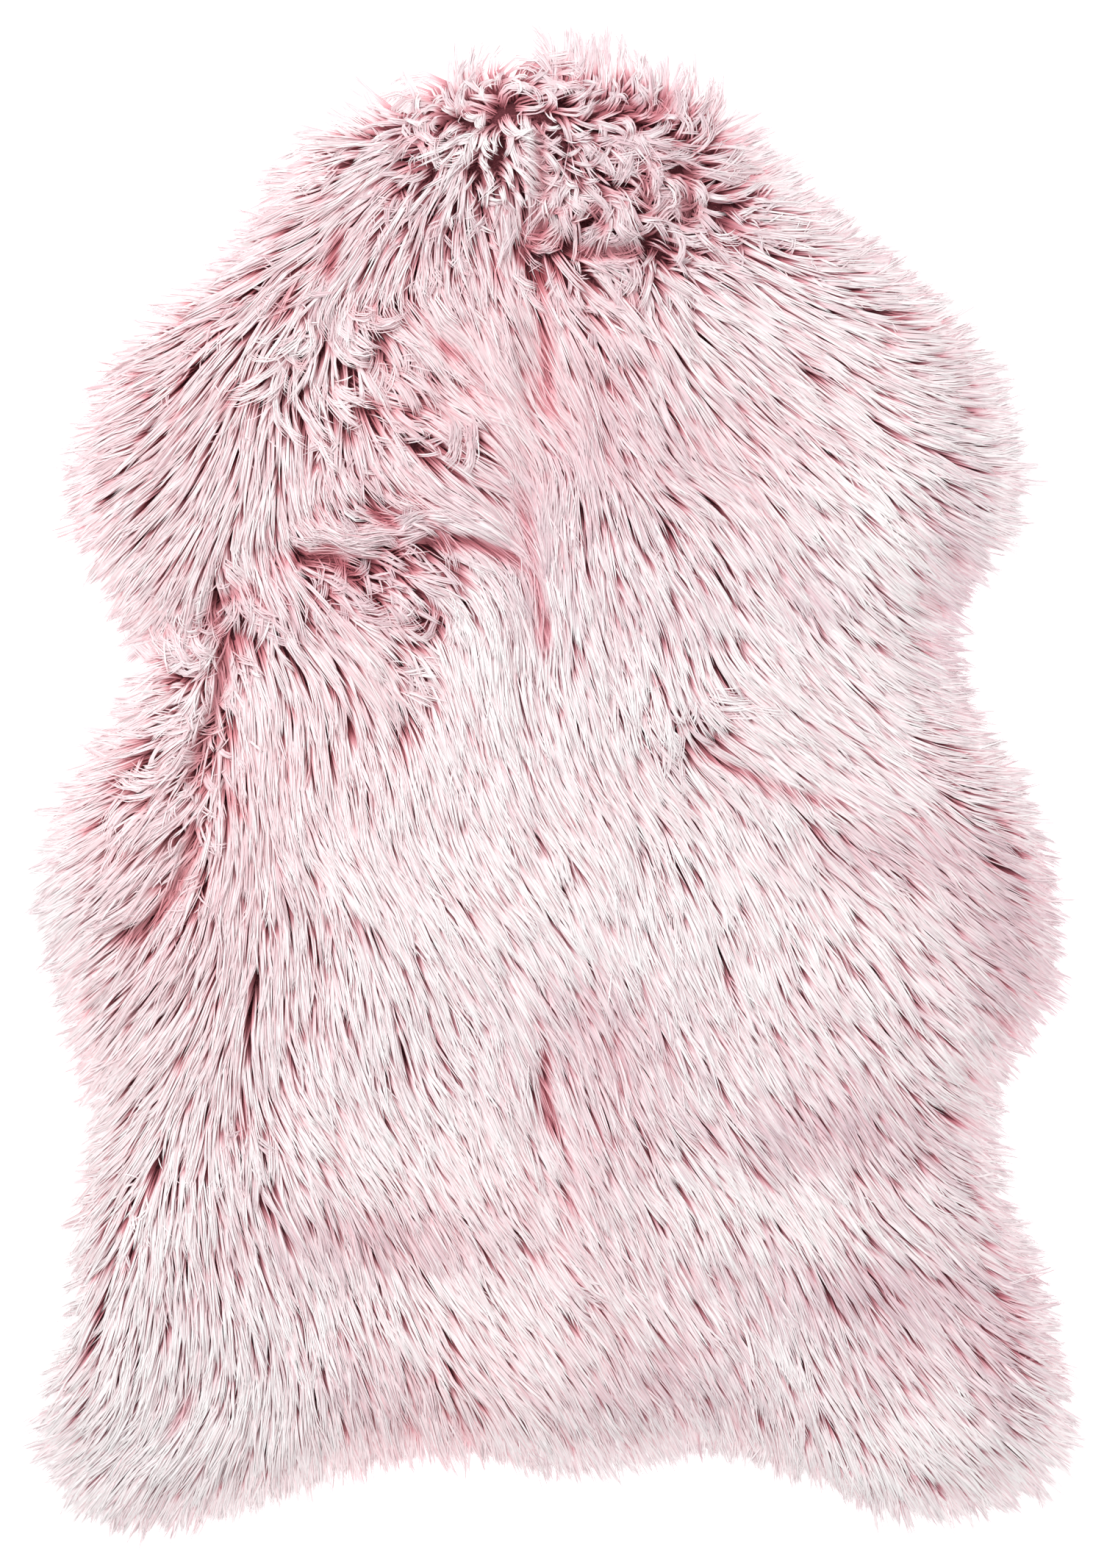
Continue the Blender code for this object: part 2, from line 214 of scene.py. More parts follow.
# %% Strokes over the chart: x and y in mm, heading, half width in mm of the patch that they turn
STROKES = (
    # the neck
    (-83, 439, 130, 16), (-58, 449, 118, 14), (-23, 449, 40, 14), (-17, 434, 330, 10), (16, 443, 85, 16),
    (36, 439, 82, 16), (60, 435, 90, 14), (80, 429, 40, 12), (89, 409, 18, 14), (102, 417, 20, 14),
    (100, 397, 5, 14), (99, 373, 352, 14), (100, 356, 330, 14), (95, 334, 312, 14), (56, 316, 305, 14),
    (23, 314, 308, 14), (-4, 320, 280, 12), (-36, 334, 278, 16), (-50, 366, 284, 14), (-70, 354, 234, 14),
    (-59, 380, 262, 12), (-88, 393, 230, 14), (-83, 377, 216, 14), (-36, 379, 303, 10),
    (-20, 386, 318, 10), (10, 391, 308, 12), (5, 377, 285, 10), (30, 400, 12, 12), (43, 380, 345, 12),
    (36, 364, 350, 12), (12, 347, 355, 10), (10, 332, 345, 8), (43, 347, 262, 10), (76, 361, 30, 12),
    (67, 341, 0, 10), (-10, 340, 240, 10),
    # the shoulders
    (-156, 329, 218, 14), (-132, 331, 232, 10), (-112, 329, 238, 12), (-104, 306, 244, 12),
    (-128, 313, 230, 8), (-145, 304, 248, 10), (-160, 304, 236, 8), (-173, 289, 236, 14),
    (-162, 275, 226, 10), (-143, 278, 300, 10), (-110, 266, 310, 12), (-93, 272, 325, 12),
    (-87, 290, 310, 10), (-65, 280, 324, 12), (-104, 243, 336, 10), (-82, 226, 350, 12),
    (-64, 215, 326, 12), (-104, 220, 300, 10), (-93, 203, 305, 12), (-46, 198, 330, 14),
    (-46, 172, 328, 14), (-36, 150, 336, 12), (-26, 146, 330, 8), (3, 214, 322, 10), (5, 176, 262, 10),
    (-142, 208, 262, 14), (-10, 150, 284, 10), (26, 210, 268, 10), (29, 293, 318, 12), (46, 198, 308, 12),
    (80, 176, 330, 14), (98, 181, 326, 14), (69, 158, 286, 12), (92, 156, 292, 12),
    # the left flank and armpit, and the left hind leg
    (-240, -48, 224, 20), (-270, -60, 226, 20), (-244, -20, 221, 18), (-240, 25, 216, 18),
    (-240, 62, 218, 14), (-206, -28, 274, 12), (-203, -58, 268, 12), (-222, -98, 240, 14),
    (-188, -30, 276, 16), (-186, 30, 280, 16), (-186, 75, 285, 14), (-144, 142, 16, 12),
    (-114, 152, 32, 11), (-88, 160, 10, 10), (-62, 154, 342, 12), (-60, 128, 326, 12),
    (-120, 116, 316, 12), (-135, 98, 308, 12), (-104, 70, 296, 10), (-196, 128, 340, 8),
    (-250, -412, 224, 18), (-270, -420, 226, 16), (-215, -392, 238, 12),
    # the rim of the upper half
    (-250, 290, 220, 18), (-222, 322, 218, 18), (-192, 348, 214, 16), (-160, 378, 207, 16),
    (-130, 404, 196, 14), (-104, 424, 160, 14), (120, 400, 4, 14), (140, 375, 2, 14), (165, 345, 356, 16),
    (200, 310, 352, 16), (235, 280, 356, 16), (262, 250, 2, 16), (280, 215, 2, 16),
    # the right side
    (111, 32, 330, 14), (104, 10, 326, 10), (126, 46, 318, 14), (149, 6, 326, 12), (74, -13, 308, 12),
    (111, -28, 290, 14), (148, -28, 296, 14), (230, 39, 345, 16), (262, 12, 350, 16), (275, -13, 348, 16),
)  # fmt: skip

# %% The fall of hair over the whole rug
STROKE_WEIGHT = 2.5  # of a stroke at its middle, against 1 for the chart
RIM_PULL = 0.3  # the same for the pull away from the rug at the cloth's edge
RIM_REACH = 16 * MM  # from the edge in to where that pull has faded
SLOPE_PASSES = 6  # of the brush over the distances, before their slope says which way is out


def away_from(points, x, y, wide, high):
    """Squared distance of each point from a patch's middle, in its half width and half height in mm."""
    return (((points / MM - (x, y)) / (wide, high)) ** 2).sum(axis=1)


def added_up(points, patches):
    """The sum of soft patches at any points: x and y, half width, half height unless round, strength."""
    total = np.zeros(len(points))
    for x, y, *sides, strength in patches:
        total += strength * np.exp(-away_from(points, x, y, sides[0], sides[-1]))
    return total


def headings(degrees):
    """Unit vectors that point along headings, given anticlockwise from the right."""
    turn = np.radians(degrees)
    return np.stack([np.cos(turn), np.sin(turn)], axis=-1)


def combed(points):
    """Unit vectors of the coat's heading at any points: the chart, with the strokes over it."""
    x = np.clip((points[:, 0] - CHART_LEFT) / CHART_ACROSS, 0, COMB_CHART.shape[1] - 1.001)
    y = np.clip((CHART_TOP - points[:, 1]) / CHART_DOWN, 0, COMB_CHART.shape[0] - 1.001)
    i, j = y.astype(int), x.astype(int)
    tx, ty = (x - j)[:, None], (y - i)[:, None]
    knots = headings(COMB_CHART)
    upper = knots[i, j] * (1 - tx) + knots[i, j + 1] * tx
    lower = knots[i + 1, j] * (1 - tx) + knots[i + 1, j + 1] * tx
    fall = upper * (1 - ty) + lower * ty
    for sx, sy, heading, wide in STROKES:
        weight = STROKE_WEIGHT * np.exp(-away_from(points, sx, sy, wide, wide))
        fall += weight[:, None] * headings(heading)
    return fall / np.linalg.norm(fall, axis=1, keepdims=True)


def pulled_outward(fall, pull):
    """The fall of hair with a pull away from the rug, strongest at the cloth's edge and gone further in."""
    slope = np.stack(np.gradient(softened(edge_grid, SLOPE_PASSES)), axis=-1)
    away = -slope / (np.linalg.norm(slope, axis=-1, keepdims=True) + 1e-9)
    pulled = fall + away * (pull * np.exp(-((np.maximum(edge_grid, 0) / RIM_REACH) ** 2)))[..., None]
    return pulled / np.linalg.norm(pulled, axis=-1, keepdims=True)


fall_grid = pulled_outward(combed(grid_points).reshape(*grid_count, 2), RIM_PULL)
print("knots:", COMB_CHART.size, "strokes:", len(STROKES))

# %% [markdown]
# ## Tousled parts, ruffled patches and creases
# The coat lies calm on the right and down the back, and is tousled at the neck, the left shoulder and the
# left flank: there the locks draw together further and show more of the rosy depth. In a few places it has
# even been rubbed the wrong way, so that whole locks stand up and curl. Elsewhere two falls of hair part
# and leave a crease where one looks down to the shaded roots. All three are kept as soft numbers over the
# floor that later steps can ask for.

# %% Tousled parts: x and y in mm, half width in mm, strength
TOUSLED = (
    (30, 400, 70, 1.0), (35, 350, 55, 1.0), (-70, 385, 55, 0.4), (-140, 320, 45, 0.7),
    (-115, 270, 50, 0.6), (-80, 200, 50, 0.7), (-100, 148, 55, 1.0), (-180, 130, 45, 0.9),
    (-215, 60, 38, 0.6), (-215, -10, 34, 0.5), (-235, -75, 45, 0.5), (-4, 250, 26, 0.7),
    (-8, 180, 22, 0.6), (60, 300, 60, 0.5), (-108, 90, 26, 0.6), (110, 25, 30, 0.4), (-4, -190, 22, 0.6),
    (250, 225, 45, 0.4), (-235, -395, 40, 0.3), (-190, -205, 20, 0.5),
)  # fmt: skip

# %% Ruffles: x and y in mm, half width in mm, strength
RUFFLES = (
    (6, 384, 34, 0.8), (48, 390, 32, 0.9), (66, 358, 26, 1.0), (34, 345, 24, 1.0), (-8, 350, 15, 0.8),
    (-72, 410, 20, 0.7), (-36, 414, 26, 1.0), (-4, 410, 20, 0.9), (-125, 302, 24, 0.8),
    (-154, 284, 18, 0.8), (-150, 255, 16, 0.6), (-108, 268, 20, 0.8), (-78, 238, 16, 0.6),
    (-127, 203, 13, 0.7), (-108, 152, 22, 0.8), (-140, 144, 16, 1.0), (-190, 128, 20, 0.8),
    (-108, 116, 17, 0.8), (-224, 98, 19, 0.8), (-215, 72, 16, 0.7), (-221, 44, 15, 0.5),
    (-225, 15, 13, 0.5), (-229, -12, 12, 0.4), (-232, -58, 11, 0.4), (-106, 68, 12, 1.0),
    (-104, 94, 12, 0.6), (72, 62, 12, 0.8), (-188, -204, 10, 0.7), (-6, -288, 11, 0.8), (24, 292, 10, 0.5),
)  # fmt: skip

# %% Creases: strength, half width in mm, points in mm
CREASES = (
    (0.5, 6, ((-96, 392), (-78, 398), (-52, 416), (-38, 418))),
    (1.0, 6, ((28, 415), (48, 416), (62, 413), (72, 422))),
    (0.9, 5, ((-8, 400), (-6, 362))),
    (0.9, 6, ((-18, 322), (-6, 342), (0, 332), (20, 326), (42, 325), (70, 328))),
    (1.0, 6, ((84, 378), (83, 345))),
    (0.8, 5, ((56, 374), (58, 352))),
    (0.7, 5, ((25, 352), (30, 338))),
    (0.7, 6, ((-132, 336), (-138, 316))),
    (0.7, 6, ((-160, 306), (-172, 282))),
    (0.5, 5, ((-160, 257), (-152, 258))),
    (0.45, 6, ((-70, 270), (-56, 262))),
    (0.45, 6, ((-4, 280), (-4, 245), (0, 225))),
    (0.5, 6, ((-20, 178), (-12, 130), (-6, 105), (-5, 85))),
    (1.0, 7, ((-166, 136), (-138, 142), (-121, 127))),
    (1.0, 6, ((-78, 147), (-48, 149), (-22, 138))),
    (0.8, 5, ((-110, 167), (-97, 160))),
    (1.0, 6, ((-208, 112), (-186, 120))),
    (1.0, 6, ((-209, 104), (-202, 90), (-203, 66), (-208, 42), (-217, 20), (-221, 4))),
    (1.0, 6, ((-221, -28), (-224, -44), (-232, -64), (-246, -82), (-264, -97))),
    (0.7, 6, ((-201, -4), (-190, -18))),
    (0.6, 6, ((84, 22), (122, 6), (150, -6), (178, -11))),
    (0.6, 5, ((-4, -165), (-6, -185), (2, -215))),
    (0.6, 6, ((-222, -376), (-236, -398))),
    (0.5, 5, ((-188, -196), (-190, -214))),
)
CREASE_CORE = 0.7  # share of the half width within which a crease is deep
CREASE_DIP = 0.45  # share of the pile's height that is missing in the deepest crease


def patched(points, patches):
    """The strongest of some soft round patches at any points, from 0 to 1."""
    most = np.zeros(len(points))
    for x, y, wide, strength in patches:
        most = np.maximum(most, strength * np.exp(-(away_from(points, x, y, wide, wide) ** 2)))
    return most


def distance_to_path(points, path):
    """Distance of each point from a bent line."""
    least = np.full(len(points), np.inf)
    for start, end in zip(path[:-1], path[1:]):
        along = end - start
        t = np.clip(((points - start) @ along) / (along @ along), 0, 1)
        least = np.minimum(least, np.linalg.norm(points - start - t[:, None] * along, axis=1))
    return least


def creased(points):
    """How deep in a crease any points lie, from 0 to 1."""
    most = np.zeros(len(points))
    for strength, width, path in CREASES:
        away = distance_to_path(points, np.array(path) * MM) / (CREASE_CORE * width * MM)
        most = np.maximum(most, strength * np.exp(-(away**2)))
    return most


tousled_grid = patched(grid_points, TOUSLED).reshape(grid_count)
ruffle_grid = patched(grid_points, RUFFLES).reshape(grid_count)
crease_grid = creased(grid_points).reshape(grid_count)
height_grid *= 1 - CREASE_DIP * crease_grid
print("ruffled share:", round(float(ruffle_grid[edge_grid > 0].mean()), 3))

# %% [markdown]
# ## Tufts, locks, strands
# Long pile never lies as single fibres. Static and wear gather it into locks that taper to a point, locks
# keep together in tufts, and each lock is made of finer strands. So the coat is grown from guides: a guide
# is a short path that starts at a lock's root in the cloth and steps along the combed headings, turned a
# little by its tuft's whim and its own.

# %% Seeds in a jittered brick pattern
draw = np.random.default_rng(11)
CLOTH_INSET = 3 * MM  # from the edge of the solid's underside in to the outermost roots
DRIFT_WAVES = 7


def seeds(pitch, stray):
    """Points all over the cloth about a pitch apart, but none too near its edge."""
    low, high = slab_edge.min(axis=0), slab_edge.max(axis=0)
    down = np.arange(low[1], high[1], pitch * math.sqrt(0.75))
    across = np.arange(low[0], high[0], pitch)
    x, y = np.meshgrid(across, down)
    x = x + (np.arange(len(down)) % 2)[:, None] * pitch / 2
    points = np.stack([x, y], axis=-1).reshape(-1, 2)
    points += draw.uniform(-stray, stray, points.shape) * pitch
    return points[read_grid(edge_grid, points) > CLOTH_INSET]


def drift(points, wavelength):
    """Smooth noise over the rug between about -1 and 1, as a few waves in random directions."""
    total = np.zeros(len(points))
    for _ in range(DRIFT_WAVES):
        turn, phase = draw.uniform(0, math.tau, 2)
        wave = wavelength * draw.uniform(0.6, 1.6)
        total += np.sin((points @ np.array([math.cos(turn), math.sin(turn)])) * math.tau / wave + phase)
    return total / 3


def strayed(spread, unruly, middle=0.0):
    """Random numbers, one for each root: a calm spread, and a second one as far as the root is unruly."""
    calm, added = spread
    return draw.normal(0, calm, len(unruly)) + unruly * draw.normal(middle, added, len(unruly))


def rotated(vectors, degrees):
    """Vectors on the floor, turned anticlockwise."""
    turn = np.radians(degrees)
    c, s = np.cos(turn), np.sin(turn)
    x, y = vectors[..., 0], vectors[..., 1]
    return np.stack([x * c - y * s, x * s + y * c], axis=-1)


# %% Tufts; each spread is for a calm one, and what is added in a full ruffle
TUFT_PITCH = 16 * MM
TUFT_TURN = (2.0, 34)  # degrees
TUFT_BEND = (2.5, 60)  # degrees
TUFT_LIFT = (0.3 * MM, 3 * MM)
RUFFLE_LIFT = 1 * MM  # that a ruffle stands over its neighbours on the whole

tuft_roots = seeds(TUFT_PITCH, 0.4)
tuft_ruffle = read_grid(ruffle_grid, tuft_roots)
tuft_turn = strayed(TUFT_TURN, tuft_ruffle)
tuft_bend = strayed(TUFT_BEND, tuft_ruffle)
tuft_lift = strayed(TUFT_LIFT, tuft_ruffle, RUFFLE_LIFT)

# %% Locks
GUIDE_STEPS = 12
LOCK_TURN = (1.5, 10)  # degrees: calm, added in a full ruffle
LOCK_BEND = (5, 26)  # degrees, the same
LOCK_LIFT = (0.35 * MM, 0.8)  # calm, and the share by which full tousling adds to it
SWAY = (3, 60 * MM)  # degrees that neighbouring locks sway by together, and over what length
REACHED = (0.78, 1.1)  # shares of the reach, shortest and longest
RUFFLE_SHORTENS = 0.42
BEND_START = 0.7  # a bent lock sets out turned back by this share of its bend
GATHER, GATHER_TOUSLED, GATHER_CURVE = 0.15, 0.2, 1.5  # how far tips draw towards their tuft, and how late
RIM_WIDTH = 19 * MM  # from the cloth's edge out to the rim
RIM_SPREAD = (6.5 * MM, 5 * MM)  # past the rim: middle and one standard deviation
LEAST_REACH = 0.3  # least share of its reach that a lock at the rim keeps

# Where locks reach further past the rim, or less far: x and y in mm, half width in mm, change in mm
REACHES = (
    (-88, 436, 50, 23), (-140, 400, 40, 9), (15, 450, 60, 7), (120, 408, 48, 9), (190, 345, 48, 9),
    (250, 290, 48, 9), (292, 205, 42, 10), (-240, 290, 48, 6), (-200, 335, 42, 6), (-264, 22, 40, 19),
    (-290, -200, 46, -18), (-292, -300, 40, -16), (-308, -62, 30, 3), (-300, -420, 42, -6),
    (245, 78, 30, 8), (300, -80, 52, 8), (262, -217, 36, 10), (280, -278, 36, 10), (306, -390, 52, 7),
    (3, -412, 42, 5),
)  # fmt: skip


class Locks:
    """Locks that grow from the given roots along a fall of hair; unruly and whirled ones stray from it."""

    def __init__(self, roots, pitch, reach, unruly, whirl=0, fall=fall_grid, beyond=0.0):
        count = len(roots)
        self.roots = roots
        self.pitch = pitch
        self.unruly = unruly
        self.tuft = nearest(roots, tuft_roots)[0]
        self.tousled = np.maximum(unruly, read_grid(tousled_grid, roots))
        self.fall = fall
        self.way = read_grid(fall, roots)
        self.turn = SWAY[0] * drift(roots, SWAY[1]) + strayed(LOCK_TURN, unruly) + tuft_turn[self.tuft]
        self.turn += draw.uniform(-whirl, whirl, count)
        self.bend = strayed(LOCK_BEND, unruly) + tuft_bend[self.tuft]
        self.lift = draw.normal(0, LOCK_LIFT[0], count) * (1 + LOCK_LIFT[1] * self.tousled)
        self.lift += tuft_lift[self.tuft]
        self.reach = reach * draw.uniform(*REACHED, count) * (1 - RUFFLE_SHORTENS * unruly)
        self.reach *= self.share_inside_rim(self.trace(), beyond)
        self.paths = self.trace()

    def trace(self):
        """Paths over the floor, one point for each of the steps, drawn together in their tufts."""
        paths = [self.roots]
        for step in range(GUIDE_STEPS):
            middle = (step + 0.5) / GUIDE_STEPS
            way = rotated(read_grid(self.fall, paths[-1]), self.turn + self.bend * (2 * middle - BEND_START))
            paths.append(paths[-1] + way * (self.reach / GUIDE_STEPS)[:, None])
        t = np.linspace(0, 1, GUIDE_STEPS + 1)
        drawn = (GATHER + GATHER_TOUSLED * self.tousled)[:, None] * t**GATHER_CURVE
        gather = (tuft_roots[self.tuft] - self.roots)[:, None] * drawn[..., None]
        return np.stack(paths, axis=1) + gather

    def share_inside_rim(self, paths, beyond):
        """What share of its reach each lock may keep to end no further past the rim than that."""
        inset, outset = read_grid(edge_grid, self.roots), -read_grid(edge_grid, paths[:, -1])
        limit = RIM_WIDTH + beyond + draw.normal(*RIM_SPREAD, len(self.roots))
        limit += added_up(self.roots, REACHES) * MM
        return np.clip((limit + inset) / np.maximum(outset + inset, 1 * MM), LEAST_REACH, 1)


LOCK_PITCH = 6.4 * MM
LOCK_REACH = 60 * MM
lock_roots = seeds(LOCK_PITCH, 0.42)
locks = Locks(lock_roots, LOCK_PITCH, LOCK_REACH, read_grid(ruffle_grid, lock_roots))
print("tufts:", len(tuft_roots), "locks:", len(lock_roots))

# %% [markdown]
# ## Fibres
# A fibre starts at its own root, leans in towards its strand and its lock on the way out, and climbs from
# the cloth to the top of the pile, where it lies along the solid's surface. The middle of a lock rides
# higher than its flanks, so every lock is rounded and shades its neighbour. At the rim the surface runs
# down to the floor and the fibres with it. Smooth fibres need few steps, while those in a ruffle curl and
# need more.

# %% Strands and fibres
CLOTH_TOP = 1.8 * MM
FLOOR_CLEARANCE = (0.5 * MM, 1.7 * MM)  # least height of a fibre, drawn between these
STRAND_PITCH = 3.0 * MM
STRAND_ROLL = 14  # degrees
STRAND_TURN = (1.4, 3)  # degrees: calm, added in a full ruffle
STRAND_LIFT = (0.85 * MM, 0.3)  # calm, and the share by which a full ruffle adds to it
DOME, EDGE_DROP = 0.6 * MM, 0.5 * MM  # how much lower the flank of a lock lies, and the edge of a strand
FAR_FLANK = 1.4  # no fibre counts as further from its axis, in half pitches
FIBRE_TURN, FIBRE_LIFT = 0.5, 0.12 * MM
FIBRE_LENGTHS = (0.84, 1.05)
LOCK_LEAN = (0.56, 0.08, 0.12)  # share of the way to the axis: calm, added if tousled, added in a ruffle
STRAND_LEAN = 0.75
CLIMB, LOCK_GATHERS, STRAND_GATHERS = 3.2, 1.4, 1.8  # how early each happens along the fibre
STRAYS = (0.015, 0.03)  # share of the fibres: calm, added in a full ruffle
STRAY_TURN, STRAY_LIFT, STRAY_LEAN = 10, 2.0 * MM, 0.3
FULL_LIFT = 16 * MM  # height of pile from which lifts count in full
TIP_DROP = 1.0 * MM


def early(t, power):
    """Runs from 0 to 1 as t does, but the sooner the higher the power."""
    return 1 - (1 - t) ** power


class Strands:
    """Finer strands inside locks: which lock each is part of, and how it turns and lifts away from it."""

    def __init__(self, roots, locks):
        self.roots = roots
        self.lock = nearest(roots, locks.roots)[0]
        unruly = locks.unruly[self.lock]
        self.roll = draw.normal(0, STRAND_ROLL, len(roots))
        self.turn = strayed(STRAND_TURN, unruly)
        self.lift = draw.normal(0, STRAND_LIFT[0], len(roots)) * (1 + STRAND_LIFT[1] * unruly)


class Fibres:
    """Fibres that share their steps: the roots, the strand and lock of each, and the paths."""

    def __init__(self, roots, steps, strands, locks):
        self.roots = roots
        self.steps = np.array(steps) / GUIDE_STEPS
        self.count = len(roots)
        self.strands, self.locks = strands, locks
        self.strand = nearest(roots, strands.roots)[0]
        self.lock = strands.lock[self.strand]
        self.unruly = locks.unruly[self.lock]
        self.tousled = locks.tousled[self.lock]
        self.stray = draw.random(self.count) < STRAYS[0] + STRAYS[1] * self.unruly
        self.flank = self.distance_from_axis(locks.roots[self.lock], locks.pitch)
        self.edge = self.distance_from_axis(strands.roots[self.strand], STRAND_PITCH)
        self.lift = locks.lift[self.lock] + strands.lift[self.strand]
        self.lift += draw.normal(0, FIBRE_LIFT, self.count)
        self.paths = self.trace(locks.paths[:, list(steps)])

    def distance_from_axis(self, starts, pitch):
        """How far to the side of its lock or strand each fibre grows: 1 is half a pitch to its right."""
        out = self.roots - starts
        way = self.locks.way[self.lock]
        away = (out[:, 0] * way[:, 1] - out[:, 1] * way[:, 0]) / (pitch / 2)
        return np.clip(away, -FAR_FLANK, FAR_FLANK)

    def trace(self, guides):
        """Points of every fibre: its way over the floor, and its height on the pile."""
        t = self.steps[None, :]
        lean = LOCK_LEAN[0] + LOCK_LEAN[1] * self.tousled + LOCK_LEAN[2] * self.unruly
        lean_lock = lean[:, None] * early(t, LOCK_GATHERS)
        lean_strand = np.where(self.stray[:, None], STRAY_LEAN * t, STRAND_LEAN * early(t, STRAND_GATHERS))
        to_strand = (self.strands.roots[self.strand] - self.locks.roots[self.lock])[:, None]
        to_fibre = (self.roots - self.strands.roots[self.strand])[:, None]
        way = guides[self.lock] + to_strand * (1 - lean_lock)[..., None]
        way += to_fibre * (1 - lean_strand)[..., None]
        turn = self.strands.turn[self.strand] + draw.normal(0, FIBRE_TURN, self.count)
        turn += self.stray * draw.normal(0, STRAY_TURN, self.count) * (1 + self.unruly)
        length = draw.uniform(*FIBRE_LENGTHS, self.count)[:, None, None]
        flat = way[:, :1] + rotated(way - way[:, :1], turn[:, None]) * (1 + (length - 1) * t[..., None])
        top = read_grid(height_grid, flat.reshape(-1, 2)).reshape(self.count, -1)
        lift = self.lift - DOME * self.flank**2 - EDGE_DROP * self.edge**2
        lift += self.stray * draw.uniform(0, STRAY_LIFT, self.count)
        height = CLOTH_TOP + np.maximum(top - CLOTH_TOP, 0) * early(t, CLIMB)
        height += lift[:, None] * t * np.minimum(1, top / FULL_LIFT) - TIP_DROP * t**5
        clear = draw.uniform(*FLOOR_CLEARANCE, self.count)[:, None]
        return np.concatenate([flat, np.maximum(height, clear)[..., None]], axis=-1)


# %% Smooth and ruffled fibres
FIBRES = 113000
RUFFLED_SHARE = 1.3  # how much denser the ruffled fibres stand
RUFFLE_GAIN = 1.6  # share of the roots that curl, against the strength of the ruffle
SMOOTH_STEPS = (0, 4, 7, 10, 12)
RUFFLED_STEPS = (0, 2, 4, 6, 8, 10, 12)

strands = Strands(seeds(STRAND_PITCH, 0.42), locks)
cloth_area = float((edge_grid > CLOTH_INSET).sum()) * CELL**2
print("strands:", len(strands.roots), "cloth:", round(cloth_area, 3), "m2")


def fibre_seeds(share):
    """Roots of fibres at a share of the usual density, and which of them stand in a ruffle."""
    roots = seeds(math.sqrt(cloth_area / (FIBRES * share) / math.sqrt(0.75)), 0.5)
    return roots, draw.random(len(roots)) < RUFFLE_GAIN * read_grid(ruffle_grid, roots)


smooth_seeds, in_ruffle = fibre_seeds(1)
smooth = Fibres(smooth_seeds[~in_ruffle], SMOOTH_STEPS, strands, locks)
ruffle_seeds, in_ruffle = fibre_seeds(RUFFLED_SHARE)
ruffles = Fibres(ruffle_seeds[in_ruffle], RUFFLED_STEPS, strands, locks)
print("smooth fibres:", smooth.count, "ruffled fibres:", ruffles.count)

# %% [markdown]
# ## Sowing the bare places
# Where two falls of hair part, both lean away and would leave the cloth bare. A real coat is dense enough
# to stand up there. So the fibres are counted over the floor, and short unruly ones are sown where they
# are few.

# %% Unruly fibres in the bare places
BARE_BELOW, BARE_IN_RUFFLE = 0.66, 1.2  # of the usual cover
BARE_MARGIN = 0.15  # by which locks are sown where it isn't quite as bare
SOWING = 1.5  # how readily fibres are sown where cover is missing
SOWN_PITCH, SOWN_LOCK_PITCH = 1.7 * MM, 7 * MM
SOWN_REACH = 30 * MM
SOWN_UNRULY = 0.7
SOWN_WHIRL = 50  # degrees either way
ROOT_PART = 0.3  # share of a fibre that lies low by its root
COVER_PASSES = 7
WELL_IN = 20 * MM  # from the edge, where the cover is the usual one


def grown(roots, steps, locks):
    """Fibres over locks of their own, in strands of their own."""
    return Fibres(roots, steps, Strands(seeds(STRAND_PITCH, 0.45), locks), locks)


def outer_points(fibres):
    """Points of the fibres past the part by their roots, and the cells of the grid that they lie over."""
    outer = fibres.paths[:, fibres.steps > ROOT_PART].reshape(-1, 3)
    cell = np.round((outer[:, :2] - grid_low) / CELL).astype(int)
    return outer, (cell[:, 0], cell[:, 1])


def cover_grid(sets):
    """How thickly the outer parts of the fibres cover each cell of the grid: 1 is the usual."""
    cover = np.zeros(grid_count)
    for fibres in sets:
        outer, cells = outer_points(fibres)
        np.add.at(cover, cells, fibres.count / len(outer))
    cover = softened(cover, COVER_PASSES)
    return cover / np.median(cover[edge_grid > WELL_IN])


cover = cover_grid((smooth, ruffles))
bare_locks = seeds(SOWN_LOCK_PITCH, 0.45)
bare_limit = BARE_BELOW + (BARE_IN_RUFFLE - BARE_BELOW) * ruffle_grid
bare_locks = bare_locks[read_grid(cover, bare_locks) < read_grid(bare_limit, bare_locks) + BARE_MARGIN]
sown_unruly = np.full(len(bare_locks), SOWN_UNRULY)
sown_locks = Locks(bare_locks, SOWN_LOCK_PITCH, SOWN_REACH, sown_unruly, SOWN_WHIRL)
bare_seeds = seeds(SOWN_PITCH, 0.5)
wanted = SOWING * (1 - read_grid(cover / bare_limit, bare_seeds))
bare_seeds = bare_seeds[draw.random(len(bare_seeds)) < wanted]
sown = grown(bare_seeds, RUFFLED_STEPS, sown_locks)
print("sown fibres:", sown.count)

# %% [markdown]
# ## Wisps round the rim
# The outline of a shaggy rug isn't a line: single wisps stray past the locks and fade out over the floor.
# They root in a narrow belt along the cloth's edge, turn more outward than the coat behind them and are
# paler, since the light reaches them from every side.

# %% Wisps
WISP_BELT = 12 * MM
WISP_PITCH, WISP_LOCK_PITCH = 2.0 * MM, 5.5 * MM
WISP_PULL = 0.8
WISP_BEYOND = 5 * MM
WISP_UNRULY = 0.3


def belt_seeds(pitch, stray):
    """Seeds in the belt along the cloth's edge only."""
    points = seeds(pitch, stray)
    return points[read_grid(edge_grid, points) < WISP_BELT]


wisp_fall = pulled_outward(fall_grid, WISP_PULL)
wisp_roots = belt_seeds(WISP_LOCK_PITCH, 0.45)
wisp_unruly = np.full(len(wisp_roots), WISP_UNRULY)
wisp_locks = Locks(
    wisp_roots, WISP_LOCK_PITCH, LOCK_REACH, wisp_unruly, fall=wisp_fall, beyond=WISP_BEYOND
)
wisps = grown(belt_seeds(WISP_PITCH, 0.5), SMOOTH_STEPS, wisp_locks)
print("wisps:", wisps.count)

